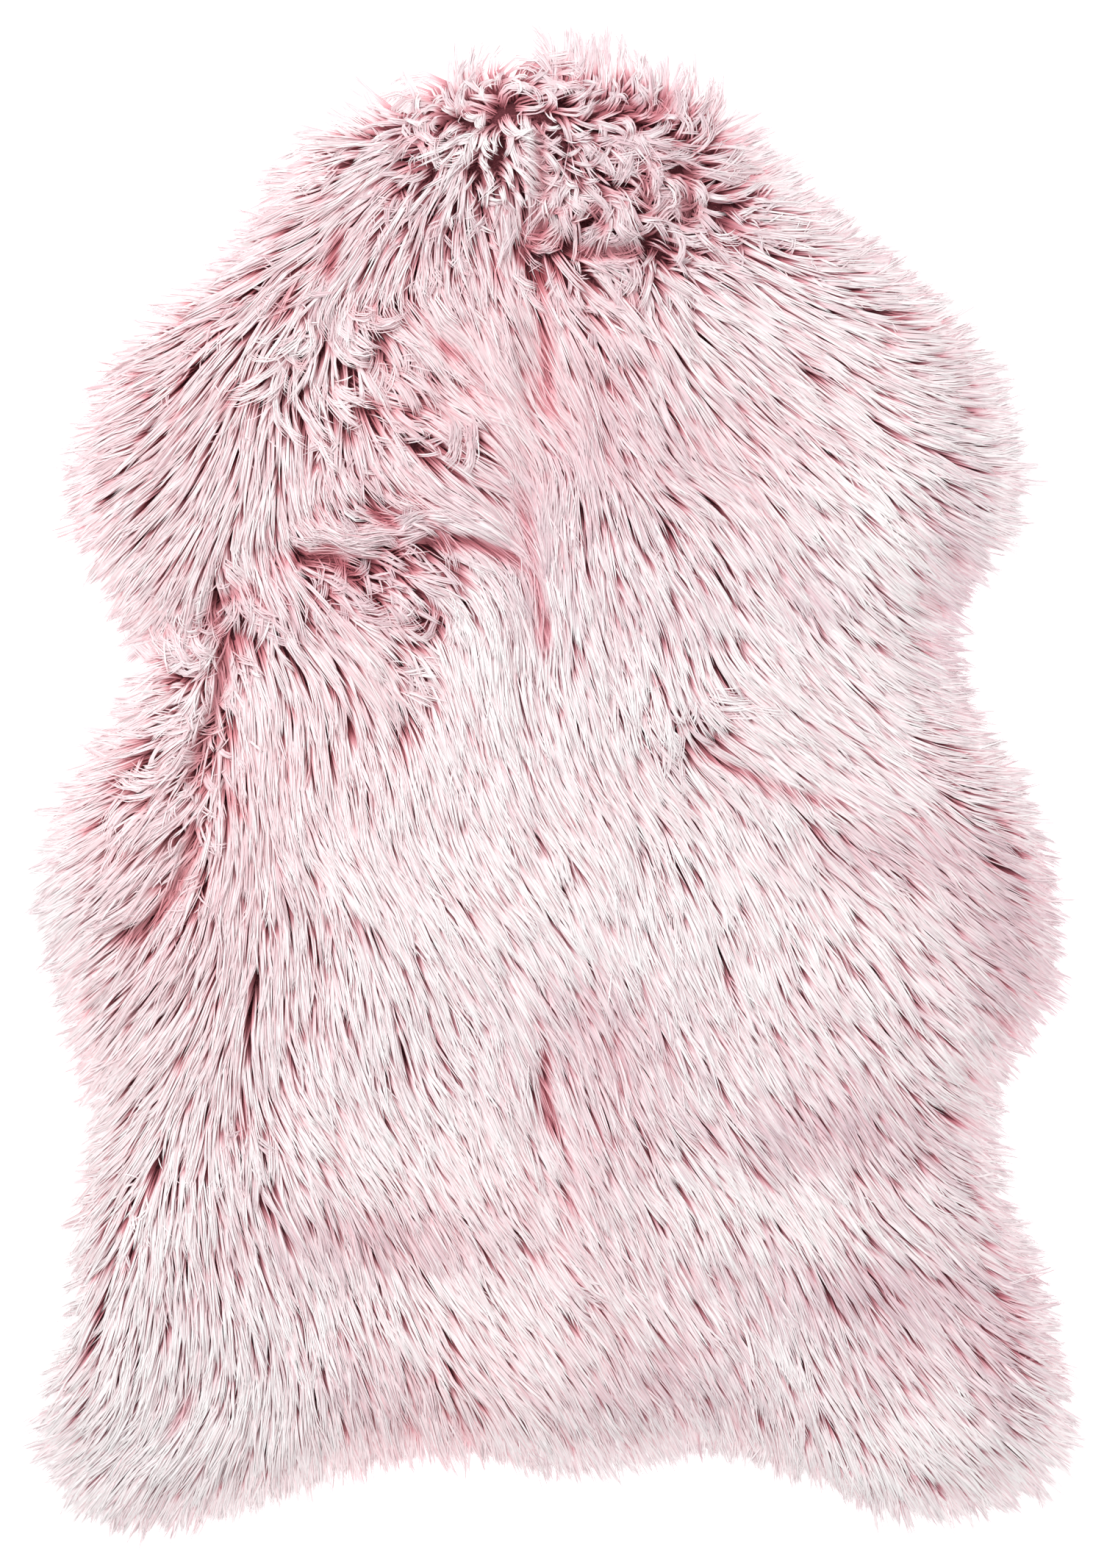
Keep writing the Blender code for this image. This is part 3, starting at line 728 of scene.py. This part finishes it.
# %% [markdown]
# ## Where the light gets to
# Light that has passed from fibre to fibre takes on their colour, so the deeper a place lies in the pile
# the rosier it looks, and that shade is painted into the fibres' colour. How deep each point lies is
# measured from the top of the fibres around it. Squared, it leaves the top layer pale and lets the pits
# fall off fast. Together with the way from root to tip, whose root part is painted in shade, it says how
# pale a fibre is there. Some whole parts of the coat get painted shade, or are painted paler, and that is
# a chart of its own.

# %% Painted shade of whole parts: x and y in mm, half width in mm, deeper or, below 0, painted paler
GLOOM = (
    (-5, 400, 80, 0.3), (60, 375, 50, 0.12), (-140, 322, 60, 0.22), (-30, 318, 45, 0.22),
    (-40, 250, 50, 0.28), (32, 245, 40, 0.36), (-240, 250, 60, 0.12),
    (-32, 386, 42, -0.75), (-170, 245, 40, -0.5), (-100, 105, 35, 0.18), (-35, 178, 35, 0.14),
    (-240, 178, 45, 0.2), (-105, 145, 60, 0.28), (32, 180, 50, 0.44), (110, 180, 50, 0.34),
    (-238, 40, 40, -0.4), (-238, -30, 35, -0.25), (302, -92, 45, 0.4), (245, -40, 50, 0.2),
    (30, -168, 42, 0.46), (90, -195, 34, 0.12), (32, -235, 40, 0.4), (240, -235, 45, 0.2),
    (302, -300, 45, 0.2), (300, -365, 40, 0.1), (165, -350, 55, 0.25), (60, -330, 45, 0.18),
    (32, -290, 40, 0.12), (167, -227, 35, 0.15), (302, -160, 35, 0.35), (235, -330, 50, 0.12),
    (-165, -432, 50, -0.8), (-305, -362, 40, -0.1), (240, -435, 45, -0.1), (-300, -330, 75, -0.3),
    (-270, -430, 60, -0.3), (-190, -400, 60, -0.12), (-300, -50, 45, -0.35), (-300, -170, 55, -0.3),
    (190, 110, 50, -0.15), (190, 20, 60, -0.1), (-40, -110, 90, -0.12), (-80, -30, 60, -0.1),
    (100, -30, 50, -0.08), (-150, -250, 60, -0.06), (-40, -365, 60, -0.1), (290, 150, 50, -0.05),
)  # fmt: skip
# Painted shade that also drifts slowly by chance over the rug
GLOOM_DRIFT = (0.06, 120 * MM)  # strength and wavelength of slow chance changes

gloom = GLOOM_DRIFT[0] * drift(grid_points, GLOOM_DRIFT[1]) + added_up(grid_points, GLOOM)
gloom_grid = gloom.reshape(grid_count)

# %% Depth below the top of the pile
DEEP = 4 * MM  # below the top, where it is as dark as it gets
TOP_PASSES = 3
# Painted shade lies on each fibre's root part, up to this share of its way, and on points below the top of
# the pile
LIT_FROM = 0.65  # share of the way from root to tip
DIMMING, DIMMED_LEAST = (0.8, -0.4, -0.1, 1.1), 0.3  # by depth alone, if tousled, in a ruffle, in gloom
SHADOW, SHADOW_MOST = (0.1, 0.4), 0.45  # in gloom, in a crease


def top_grid(sets):
    """Height of the highest fibre over each cell of the grid, smoothed."""
    top = np.zeros(grid_count)
    for fibres in sets:
        outer, cells = outer_points(fibres)
        np.maximum.at(top, cells, outer[:, 2])
    return softened(top, TOP_PASSES)


def light(fibres, top):
    """Painted light and shade of each point of the fibres: 0 at a root or deep in the pile, 1 at a tip on
    top of it.
    """
    places = fibres.paths[..., :2].reshape(-1, 2)
    above, gloom, crease = (
        read_grid(grid, places).reshape(fibres.count, -1) for grid in (top, gloom_grid, crease_grid)
    )
    depth = np.clip((above - fibres.paths[..., 2]) / DEEP, 0, 1) ** 2
    share = DIMMING[0] + DIMMING[1] * fibres.tousled + DIMMING[2] * fibres.unruly
    dimmed = np.clip(share[:, None] + DIMMING[3] * gloom, DIMMED_LEAST, 1) * depth
    shadow = np.clip(SHADOW[0] * gloom + SHADOW[1] * crease, 0, SHADOW_MOST)
    return np.clip(fibres.steps / LIT_FROM, 0, 1) * (1 - dimmed) * (1 - shadow)


pile_top = top_grid((smooth, ruffles, sown, wisps))

# %% [markdown]
# ## From paths to meshes
# Blender can render hair curves, but a model that leaves Blender has to be made of faces. Each path
# becomes a ribbon that narrows to a point, and the ribbons of a strand share a roll about their run, so
# that whole strands catch the light differently. A real fibre is finer than a hair, so one ribbon stands
# for a few that cling together. Its edge that faces out of the strand gets painted shade, which rounds the
# strand off. Three faces and a tip carry a smooth ribbon, and a curled one gets two more. The ribbon's
# place on the UV map says which colour it takes: across the map runs the fibre's own tone, and up the map
# runs the painted light and shade.

# %% Ribbons
FIBRE_WIDTH = 0.9 * MM
WIDTHS = (0.75, 1.2)  # shares of that, finest and broadest
BROADER = 0.1  # where tousled but not in a ruffle
TAPER = 0.5  # share of its width that a ribbon loses before its tip
FIBRE_ROLL, MOST_ROLL = 4, 55  # degrees
TONES = 8
UV_STRIP, UV_MARGIN = 0.003, 0.02
# painted shade at a ribbon's edge that faces out of its strand
EDGE_SHADE = 0.35
EVENED = 0.6  # share of the edge's shade that is gone in a full ruffle


def linked(name, data):
    """A new object in the scene."""
    made = bpy.data.objects.new(name, data)
    bpy.context.scene.collection.objects.link(made)
    return made


def ribbon_points(fibres, rows):
    """Left and right edges of the chosen fibres' ribbons, in pairs up to the single point at the tip."""
    line = fibres.paths[rows]
    along = np.gradient(line, axis=1)
    along /= np.linalg.norm(along, axis=2, keepdims=True) + 1e-12
    side = np.cross(along, (0, 0, 1))
    side /= np.linalg.norm(side, axis=2, keepdims=True) + 1e-12
    up = np.cross(side, along)
    roll = fibres.strands.roll[fibres.strand[rows]] + draw.normal(0, FIBRE_ROLL, len(rows))
    roll = np.radians(np.clip(roll, -MOST_ROLL, MOST_ROLL))[:, None, None]
    side = side * np.cos(roll) + up * np.sin(roll)
    taper = (1 - TAPER * fibres.steps**2)[None, :, None]
    broad = 1 + BROADER * (fibres.tousled - fibres.unruly)[rows]
    width = (FIBRE_WIDTH * broad * draw.uniform(*WIDTHS, len(rows)))[:, None, None] * taper
    left, right = line - side * width / 2, line + side * width / 2
    pairs = np.stack([left[:, :-1], right[:, :-1]], axis=2).reshape(len(rows), -1, 3)
    return np.concatenate([pairs, line[:, -1:]], axis=1)


def ribbon_faces(count, levels):
    """Corners of the faces of that many ribbons: quads up each ribbon, then the triangle at its tip."""
    pairs = levels - 1
    quads = np.array([[2 * k, 2 * k + 1, 2 * k + 3, 2 * k + 2] for k in range(pairs - 1)])
    tip = np.array([2 * pairs - 2, 2 * pairs - 1, 2 * pairs])
    corners = np.concatenate([quads.ravel(), tip])
    sizes = np.array([4] * (pairs - 1) + [3])
    start = np.arange(count)[:, None] * (2 * pairs + 1)
    return (start + corners).ravel(), np.tile(sizes, count)


def ribbon_uv(tone, lit, outward):
    """Place on the map of each point: its tone across, its painted light up, with painted shade at the
    strand's outer edge.
    """
    across = np.concatenate([np.tile([-0.5, 0.5], lit.shape[1] - 1), [0.0]]) * UV_STRIP
    shade = 1 - EDGE_SHADE * np.clip(outward[:, None] * [-1, 1], 0, 1)
    pairs = (lit[:, :-1, None] * shade[:, None]).reshape(len(lit), -1)
    rise = np.concatenate([pairs, lit[:, -1:]], axis=1)
    return np.stack([tone[:, None] + across, UV_MARGIN + (1 - 2 * UV_MARGIN) * rise], axis=-1)


def ribbon_mesh(name, fibres, rows, tone):
    """One mesh of the chosen fibres."""
    points = ribbon_points(fibres, rows)
    corners, sizes = ribbon_faces(len(rows), len(fibres.steps))
    data = bpy.data.meshes.new(name)
    data.vertices.add(points.shape[0] * points.shape[1])
    data.vertices.foreach_set("co", points.astype(np.float32).ravel())
    data.loops.add(len(corners))
    data.loops.foreach_set("vertex_index", corners.astype(np.int32))
    data.polygons.add(len(sizes))
    starts = np.concatenate([[0], np.cumsum(sizes)[:-1]])
    data.polygons.foreach_set("loop_start", starts.astype(np.int32))
    data.polygons.foreach_set("use_smooth", np.ones(len(sizes), bool))
    data.update(calc_edges=True)
    layer = data.uv_layers.new(name="OFBake")
    outward = fibres.edge[rows] * (1 - EVENED * fibres.unruly[rows])
    places = ribbon_uv(tone, light(fibres, pile_top)[rows], outward).reshape(-1, 2)
    layer.data.foreach_set("uv", places[corners].astype(np.float32).ravel())
    data.validate()
    print(name, len(rows), "fibres", sum(len(p.vertices) - 2 for p in data.polygons), "triangles")
    return linked(name, data)


# %% [markdown]
# ## Tone of each fibre
# The rug is one dye lot, yet no two fibres look alike: the left side reads warmer, the right side cooler
# and paler, and every strand is a shade lighter or darker than the next, by chance and by painted light
# where it stands higher. Tone is picked in two parts. A family, from warm to cool, is one of eight columns
# of the UV map. Inside its column the fibre goes from deep to pale. Pressed and brushed pile also has soft
# bands, dusky where it leans away from the light and nearly white where it leans into it; these bands are
# painted shade and painted highlight, given as a chart of ovals.

# %% Warmth of whole parts: x and y in mm, half width in mm, warmer or, below 0, cooler
WARMTH = (
    (-120, 330, 130, 0.18), (30, 380, 90, 0.05), (0, 450, 60, -0.1), (-110, 170, 80, -0.05),
    (-230, 60, 60, 0.12), (-240, -60, 50, 0.15), (-200, -400, 110, 0.1), (-100, -370, 50, 0.15),
    (-240, -90, 60, 0.1), (-232, -25, 40, 0.15), (-312, -60, 45, -0.55), (-300, -370, 80, -0.35),
    (-235, 175, 70, 0.1), (-200, -295, 70, -0.15), (-238, -195, 60, -0.08),
)  # fmt: skip
# The same for bands of painted shade and painted highlight: x, y, half width and half height in mm, painted
# shade or, below 0, painted highlight
SHADE_AND_HIGHLIGHT_BANDS = (
    (214, -53, 60, 20, 0.5), (284, -99, 24, 60, 0.4), (36, -160, 36, 30, 0.2),
    (186, -221, 70, 22, 0.5), (-109, -287, 85, 20, 0.6), (-114, -386, 45, 26, 0.45),
    (64, -375, 55, 24, 0.35), (205, -320, 70, 20, 0.5), (284, -367, 22, 45, 0.4),
    (261, 116, 18, 60, 0.5), (172, 107, 34, 30, 0.45), (-11, 125, 14, 50, 0.45),
    (205, 150, 22, 45, -0.5), (-67, -235, 90, 24, -0.5), (-58, -334, 90, 18, -0.6),
    (130, -273, 80, 18, -0.5), (150, -366, 28, 24, -0.5), (149, -110, 60, 26, -0.45),
    (73, 41, 55, 30, -0.2), (-53, 60, 26, 55, -0.4), (-260, -255, 40, 70, -0.45),
    (200, -425, 70, 24, -0.5), (-150, -10, 45, 60, -0.25), (40, -60, 80, 40, -0.2),
)  # fmt: skip

# %% Tones
WARM_MIDDLE, WARM_ACROSS = 0.42, -0.75  # usual warmth, and its change for each metre to the right
WARM_DRIFT = (0.1, 200 * MM)  # strength and wavelength of slow chance changes
FAMILY_SPREAD = 0.09
PALENESS = 0.85
# Standing higher paints a lock or strand paler: that part is painted light
LOCK_TONE, STRAND_TONE = (0.06, 0.03), (0.2, 0.05)  # spread, and change for each mm of lift
FIBRE_TONE = 0.03
# Painted shade: the lower flank of a lock and the edge of a strand are painted deeper
FLANK_SHADE, STRAND_EDGE_SHADE = 0.2, 0.15  # taken off at the flank of a lock and the edge of a strand
# Painted shade is taken off for creases and gloomy parts, and painted light added where gloom is below 0;
# ruffled and tousled fibres are made less pale
UNRULY_TONE, TOUSLED_TONE, GLOOM_TONE, CREASE_SHADE = 0.28, 0.14, 0.8, 0.18  # taken off where it is so
COLUMN_MARGIN = 0.03

warm_drift = WARM_DRIFT[0] * drift(grid_points, WARM_DRIFT[1]).reshape(grid_count)


def warmed(points):
    """How warm the coat is at any points, 0 to 1 and a little past either."""
    across = WARM_MIDDLE + WARM_ACROSS * points[:, 0]
    return across + read_grid(warm_drift, points) + added_up(points, WARMTH)


def chance_tones_and_lift_light(group, spread, light_by_lift):
    """How much paler than usual each lock or strand of a group is: by chance, and by painted light where it
    stands up.
    """
    return draw.normal(0, spread, len(group.roots)) + light_by_lift * group.lift / MM


def tones(fibres, paler=0.0):
    """Place across the UV map of each fibre: its family's column, and how pale it is inside that."""
    cool = 1 - warmed(fibres.roots) + draw.normal(0, FAMILY_SPREAD, fibres.count)
    family = np.clip(np.floor(cool * TONES), 0, TONES - 1)
    pale = PALENESS + paler + chance_tones_and_lift_light(fibres.locks, *LOCK_TONE)[fibres.lock]
    pale += chance_tones_and_lift_light(fibres.strands, *STRAND_TONE)[fibres.strand]
    pale += draw.normal(0, FIBRE_TONE, fibres.count)
    # painted shade at the lower flanks of locks and edges of strands
    pale -= FLANK_SHADE * fibres.flank**2 + STRAND_EDGE_SHADE * fibres.edge**2
    pale -= UNRULY_TONE * fibres.unruly + TOUSLED_TONE * fibres.tousled
    tips = fibres.paths[:, -1, :2]
    # painted shade of gloomy parts, and painted shade and highlight bands, read at the tips
    pale -= GLOOM_TONE * read_grid(gloom_grid, tips) + added_up(tips, SHADE_AND_HIGHLIGHT_BANDS)
    # painted shade in creases
    pale -= CREASE_SHADE * read_grid(crease_grid, fibres.paths[:, 2, :2])
    return (family + np.clip(pale, COLUMN_MARGIN, 1 - COLUMN_MARGIN)) / TONES


# %% [markdown]
# ## Dyed acrylic
# One Principled shader serves the whole coat, and its colour is mixed from ramps read off the UV map. Two
# hold the painted shade of the depths of a warm and of a cool fibre, from the root upward. Two hold the
# tips, of a deep and of a pale fibre, from warm to cool. A last one says how far up the painted shade of
# the depth gives way to the tip. Sheen gives the soft bloom that long pile has when it is seen along the
# surface.

# %% Fur material: tips from warm to cool, then the painted shade of the depths from the root upward
DEEP_TIPS = (
    (0.0, (0.67, 0.40, 0.435)), (0.5, (0.61, 0.445, 0.48)), (1.0, (0.58, 0.445, 0.49)),
)  # fmt: skip
PALE_TIPS = (
    (0.0, (0.86, 0.69, 0.715)), (0.5, (0.84, 0.815, 0.815)), (1.0, (0.84, 0.83, 0.825)),
)  # fmt: skip
WARM_SHADED_DEPTHS = (
    (0.0, (0.34, 0.05, 0.06)), (0.25, (0.58, 0.18, 0.20)), (0.5, (0.76, 0.35, 0.38)),
    (0.8, (0.86, 0.58, 0.60)),
)  # fmt: skip
COOL_SHADED_DEPTHS = (
    (0.0, (0.26, 0.05, 0.075)), (0.25, (0.48, 0.17, 0.21)), (0.5, (0.66, 0.35, 0.40)),
    (0.8, (0.80, 0.58, 0.62)),
)  # fmt: skip
TIP_RISE = ((0.45, (0, 0, 0)), (0.95, (1, 1, 1)))


def material(name, values):
    """A new material with these inputs of its shader set, and its node tree and shader."""
    made = bpy.data.materials.new(name)
    made.use_nodes = True
    shader = made.node_tree.nodes["Principled BSDF"]
    for socket, value in values.items():
        shader.inputs[socket].default_value = value
    return made, made.node_tree, shader


def ramp(tree, stops, factor):
    """The colour that a ramp with these (position, colour) stops has at a factor."""
    node = tree.nodes.new("ShaderNodeValToRGB")
    elements = node.color_ramp.elements
    while len(elements) < len(stops):
        elements.new(0.5)
    for element, (position, colour) in zip(elements, stops):
        element.position = position
        element.color = (*colour, 1)
    tree.links.new(factor, node.inputs[0])
    return node.outputs[0]


def mixed(tree, factor, a, b):
    """The colour that lies between a and b by a factor."""
    node = tree.nodes.new("ShaderNodeMix")
    node.data_type = "RGBA"
    for socket, source in (("Factor", factor), ("A", a), ("B", b)):
        tree.links.new(source, node.inputs[socket])
    return node.outputs["Result"]


def split(tree, vector):
    """The first two numbers of a vector."""
    node = tree.nodes.new("ShaderNodeSeparateXYZ")
    tree.links.new(vector, node.inputs[0])
    return node.outputs["X"], node.outputs["Y"]


def maths(tree, operation, a, b=None):
    """One sum on values: a comes from a socket, b from a socket or as a number."""
    node = tree.nodes.new("ShaderNodeMath")
    node.operation = operation
    tree.links.new(a, node.inputs[0])
    if isinstance(b, bpy.types.NodeSocket):
        tree.links.new(b, node.inputs[1])
    elif b is not None:
        node.inputs[1].default_value = b
    return node.outputs[0]


def fur_material():
    """Dyed fibre whose colour is read off the UV map: deep and rosy in painted shade at the root, pale at
    the tip.
    """
    made, tree, shader = material("Pink acrylic pile", {
        "Roughness": 0.62, "Specular IOR Level": 0.25,
        "Sheen Weight": 0.1, "Sheen Roughness": 0.5, "Sheen Tint": (1.0, 0.93, 0.94, 1),
    })  # fmt: skip
    uv = tree.nodes.new("ShaderNodeUVMap")
    uv.uv_map = "OFBake"
    across, up = split(tree, uv.outputs["UV"])
    columns = maths(tree, "MULTIPLY", across, TONES)
    family = maths(tree, "DIVIDE", maths(tree, "FLOOR", columns), TONES - 1)
    paleness = maths(tree, "FRACT", columns)
    depth = mixed(tree, family, ramp(tree, WARM_SHADED_DEPTHS, up), ramp(tree, COOL_SHADED_DEPTHS, up))
    tip = mixed(tree, paleness, ramp(tree, DEEP_TIPS, family), ramp(tree, PALE_TIPS, family))
    tree.links.new(mixed(tree, ramp(tree, TIP_RISE, up), depth, tip), shader.inputs["Base Color"])
    return made


pile = fur_material()

# %% Five bands of smooth coat, from the neck to the rump, then ruffles, sown fibres and wisps
BANDS = ("coat_neck", "coat_shoulders", "coat_waist", "coat_haunch", "coat_rump")
smooth_tone = tones(smooth)
downwards = np.argsort(-smooth.roots[:, 1], kind="stable")
coat = []
for name, rows in zip(BANDS, np.array_split(downwards, len(BANDS))):
    coat.append(ribbon_mesh(name, smooth, rows, smooth_tone[rows]))
WISPS_PALER = 0.12
OTHERS = (("coat_ruffles", ruffles, 0), ("coat_partings", sown, 0), ("coat_wisps", wisps, WISPS_PALER))
for name, fibres, paler in OTHERS:
    coat.append(ribbon_mesh(name, fibres, np.arange(fibres.count), tones(fibres, paler)))
for band in coat:
    band.data.materials.append(pile)

# %% [markdown]
# ## The undercoat
# Between the long fibres stands a dense short wool that one never sees as fibres, only as a rosy dark
# between the locks. It is one soft surface at half the height of the pile that runs down to the cloth at
# the edge. Its dark colour is partly the wool's own rose and mostly painted shade, the shade that falls
# between the locks, and it is darkest where its relief dips.

# %% Undercoat
UNDERCOAT_SHARE = 0.5  # of the height of the pile
UNDERCOAT_INSET = 5 * MM
UNDERCOAT_SLOPE, UNDERCOAT_LEAST = 20 * MM, 0.1  # from the edge to full height, and the share at the edge
UNDERCOAT_CELL = 8 * MM
HOLLOWS = 0.8 * MM  # up or down by chance
OVER_CLOTH = 0.2 * MM
# deep rose of the wool darkened as painted shade, darkest where the relief dips
WOOL_AND_SHADE_COLOURS = ((0.3, (0.10, 0.02, 0.03)), (0.7, (0.38, 0.12, 0.14)))


def from_bmesh(name, bm):
    """A new object of a mesh that has been built."""
    data = bpy.data.meshes.new(name)
    bm.to_mesh(data)
    bm.free()
    return linked(name, data)


def bumped(tree, shader, height, **values):
    """Gives a shader relief from a height, with these inputs of the bump set."""
    node = tree.nodes.new("ShaderNodeBump")
    for socket, value in values.items():
        node.inputs[socket].default_value = value
    tree.links.new(height, node.inputs["Height"])
    tree.links.new(node.outputs[0], shader.inputs["Normal"])


def undercoat():
    """A mound over the cloth at half the pile's height, with small hollows all over."""
    bm = bmesh.new()
    low, high = slab_edge.min(axis=0), slab_edge.max(axis=0)
    across, down = np.arange(low[0], high[0], UNDERCOAT_CELL), np.arange(low[1], high[1], UNDERCOAT_CELL)
    x, y = np.meshgrid(across, down, indexing="ij")
    places = np.stack([x, y], axis=-1).reshape(-1, 2)
    inset = read_grid(edge_grid, places)
    rise = np.clip(inset / UNDERCOAT_SLOPE, UNDERCOAT_LEAST, 1)
    top = read_grid(height_grid, places) * UNDERCOAT_SHARE * rise
    top += draw.uniform(-HOLLOWS, HOLLOWS, len(places))
    inner = (inset > UNDERCOAT_INSET).reshape(x.shape)
    points = np.column_stack([places, np.maximum(top, CLOTH_TOP + OVER_CLOTH)]).reshape(*x.shape, 3)
    verts = {place: bm.verts.new(points[place]) for place in map(tuple, np.argwhere(inner))}
    for i, j in verts:
        square = [verts.get(place) for place in ((i, j), (i + 1, j), (i + 1, j + 1), (i, j + 1))]
        if None not in square:
            bm.faces.new(square)
    bmesh.ops.delete(bm, geom=[v for v in bm.verts if not v.link_faces], context="VERTS")
    for face in bm.faces:
        face.smooth = True
    return from_bmesh("undercoat", bm)


def undercoat_material():
    """Dense short wool, mottled in deep rose that is mostly painted shade, darkest where its relief dips."""
    made, tree, shader = material("Rose undercoat in painted shade", {"Roughness": 1.0, "Specular IOR Level": 0.0})
    noise = tree.nodes.new("ShaderNodeTexNoise")
    noise.inputs["Scale"].default_value = 420
    noise.inputs["Detail"].default_value = 4
    tree.links.new(ramp(tree, WOOL_AND_SHADE_COLOURS, noise.outputs[0]), shader.inputs["Base Color"])
    bumped(tree, shader, noise.outputs[0], Distance=1.5 * MM)
    return made


wool = undercoat()
wool.data.materials.append(undercoat_material())
print("undercoat:", len(wool.data.polygons) * 2, "triangles")

# %% [markdown]
# ## The base cloth
# Under the coat lies the knitted cloth that holds it, cut a little inside the solid's edge. It is a thin
# sheet: a flat outline filled and thickened. Its stitches are too fine to model, so its shader draws them,
# both as colour and as relief, from a few sums on the place on the cloth. The yarn's colour darkens where
# its relief dips into the furrows, which is painted shade.

# %% Base cloth
CLOTH_LOW = 0.3 * MM
CUT_INSET = 2 * MM  # from the edge of the solid's underside in to the cut
STITCH_WIDTH = 3.0 * MM
STITCH_HEIGHT = 2.2 * MM
FURROW_SLOPE = 6  # how steeply the yarn dips into the furrow between two columns
# yarn colour, with painted shade where the relief dips into the furrows
YARN_AND_SHADE_COLOURS = ((0.0, (0.20, 0.07, 0.085)), (0.4, (0.42, 0.19, 0.21)), (1.0, (0.60, 0.34, 0.36)))


def base_cloth():
    """The cloth as a thin closed sheet, cut a little inside the edge of the solid's underside."""
    along = np.roll(slab_edge, -1, 0) - np.roll(slab_edge, 1, 0)
    normal = np.stack([along[:, 1], -along[:, 0]], axis=-1)
    normal /= np.linalg.norm(normal, axis=1, keepdims=True)
    if read_grid(edge_grid, slab_edge + normal * CLOTH_INSET).mean() < 0:
        normal = -normal
    cut = slab_edge + normal * CUT_INSET
    bm = bmesh.new()
    rim = [bm.verts.new((x, y, CLOTH_LOW)) for x, y in cut]
    bm.faces.new(rim)
    bmesh.ops.triangulate(bm, faces=bm.faces)
    bmesh.ops.recalc_face_normals(bm, faces=bm.faces)
    made = from_bmesh("base_cloth", bm)
    thick = made.modifiers.new("thickness", "SOLIDIFY")
    thick.thickness = CLOTH_TOP - CLOTH_LOW
    thick.offset = 0
    return made


def cloth_material():
    """Columns of V-shaped stitches: rows of yarn slant one way and back, with a furrow between columns and
    painted shade where the yarn dips.
    """
    made, tree, shader = material("Knitted base", {"Roughness": 0.9})
    across, along = split(tree, tree.nodes.new("ShaderNodeTexCoord").outputs["Object"])
    slant = maths(tree, "PINGPONG", maths(tree, "MULTIPLY", across, 1 / STITCH_WIDTH), 0.5)
    rows = maths(tree, "ADD", maths(tree, "MULTIPLY", along, 1 / STITCH_HEIGHT), slant)
    yarn = maths(tree, "MULTIPLY", maths(tree, "PINGPONG", rows, 0.5), 2)
    relief = maths(tree, "MINIMUM", yarn, maths(tree, "MULTIPLY", slant, FURROW_SLOPE))
    tree.links.new(ramp(tree, YARN_AND_SHADE_COLOURS, relief), shader.inputs["Base Color"])
    bumped(tree, shader, relief, Strength=0.8, Distance=0.4 * MM)
    return made


cloth = base_cloth()
cloth.location.z = (CLOTH_TOP - CLOTH_LOW) / 2
cloth.data.materials.append(cloth_material())

# %% [markdown]
# ## Light and camera
# A pale floor, a broad soft light high on the left beyond the neck, a wider and weaker one across from it,
# and a bright sky to fill. The camera looks straight down through a long lens, so the rug keeps its
# outline from edge to edge.

# %% Floor
FLOOR_SIZE = 12
# White card with a little glow of its own, as over a light table, so that shadows on it stay faint
CARD = {
    "Base Color": (0.93, 0.93, 0.93, 1), "Roughness": 0.9,
    "Emission Color": (1, 1, 1, 1), "Emission Strength": 0.47,
}  # fmt: skip

bpy.ops.mesh.primitive_plane_add(size=FLOOR_SIZE)
floor = bpy.context.object
floor.name = "studio_floor"
floor.data.materials.append(material("Pale floor", CARD)[0])

# %% Lights
SKY_COLOUR, SKY_STRENGTH = (1, 0.975, 0.98, 1), 0.62


def area_light(name, place, size, power):
    """A soft square light that faces the rug's middle."""
    data = bpy.data.lights.new(name, "AREA")
    data.size = size
    data.energy = power
    made = linked(name, data)
    made.location = place
    made.rotation_euler = (-Vector(place)).to_track_quat("-Z", "Y").to_euler()


area_light("key", place=(-1.3, 1.4, 2.3), size=2.0, power=80)
area_light("fill", place=(1.6, -0.8, 2.6), size=2.5, power=30)
world = bpy.data.worlds.new("Soft sky")
world.use_nodes = True
sky = world.node_tree.nodes["Background"]
sky.inputs["Color"].default_value = SKY_COLOUR
sky.inputs["Strength"].default_value = SKY_STRENGTH
bpy.context.scene.world = world
bpy.context.scene.view_settings.view_transform = "Standard"

# %% Camera
LENS, SENSOR = 85, 36  # millimetres, as Blender's cameras count
FRAME_HEIGHT = 0.960
FRAME_CENTRE = Vector((-0.0043, 0.0017, 0.018))

camera_data = bpy.data.cameras.new("camera")
camera_data.lens = LENS
camera_data.sensor_width = SENSOR
camera = linked("camera", camera_data)
camera.location = FRAME_CENTRE + Vector((0, 0, FRAME_HEIGHT * LENS / SENSOR))
bpy.context.scene.camera = camera

# %% What stands for what
for piece in (*coat, wool, cloth):
    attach(piece, "root")
    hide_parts("fur")
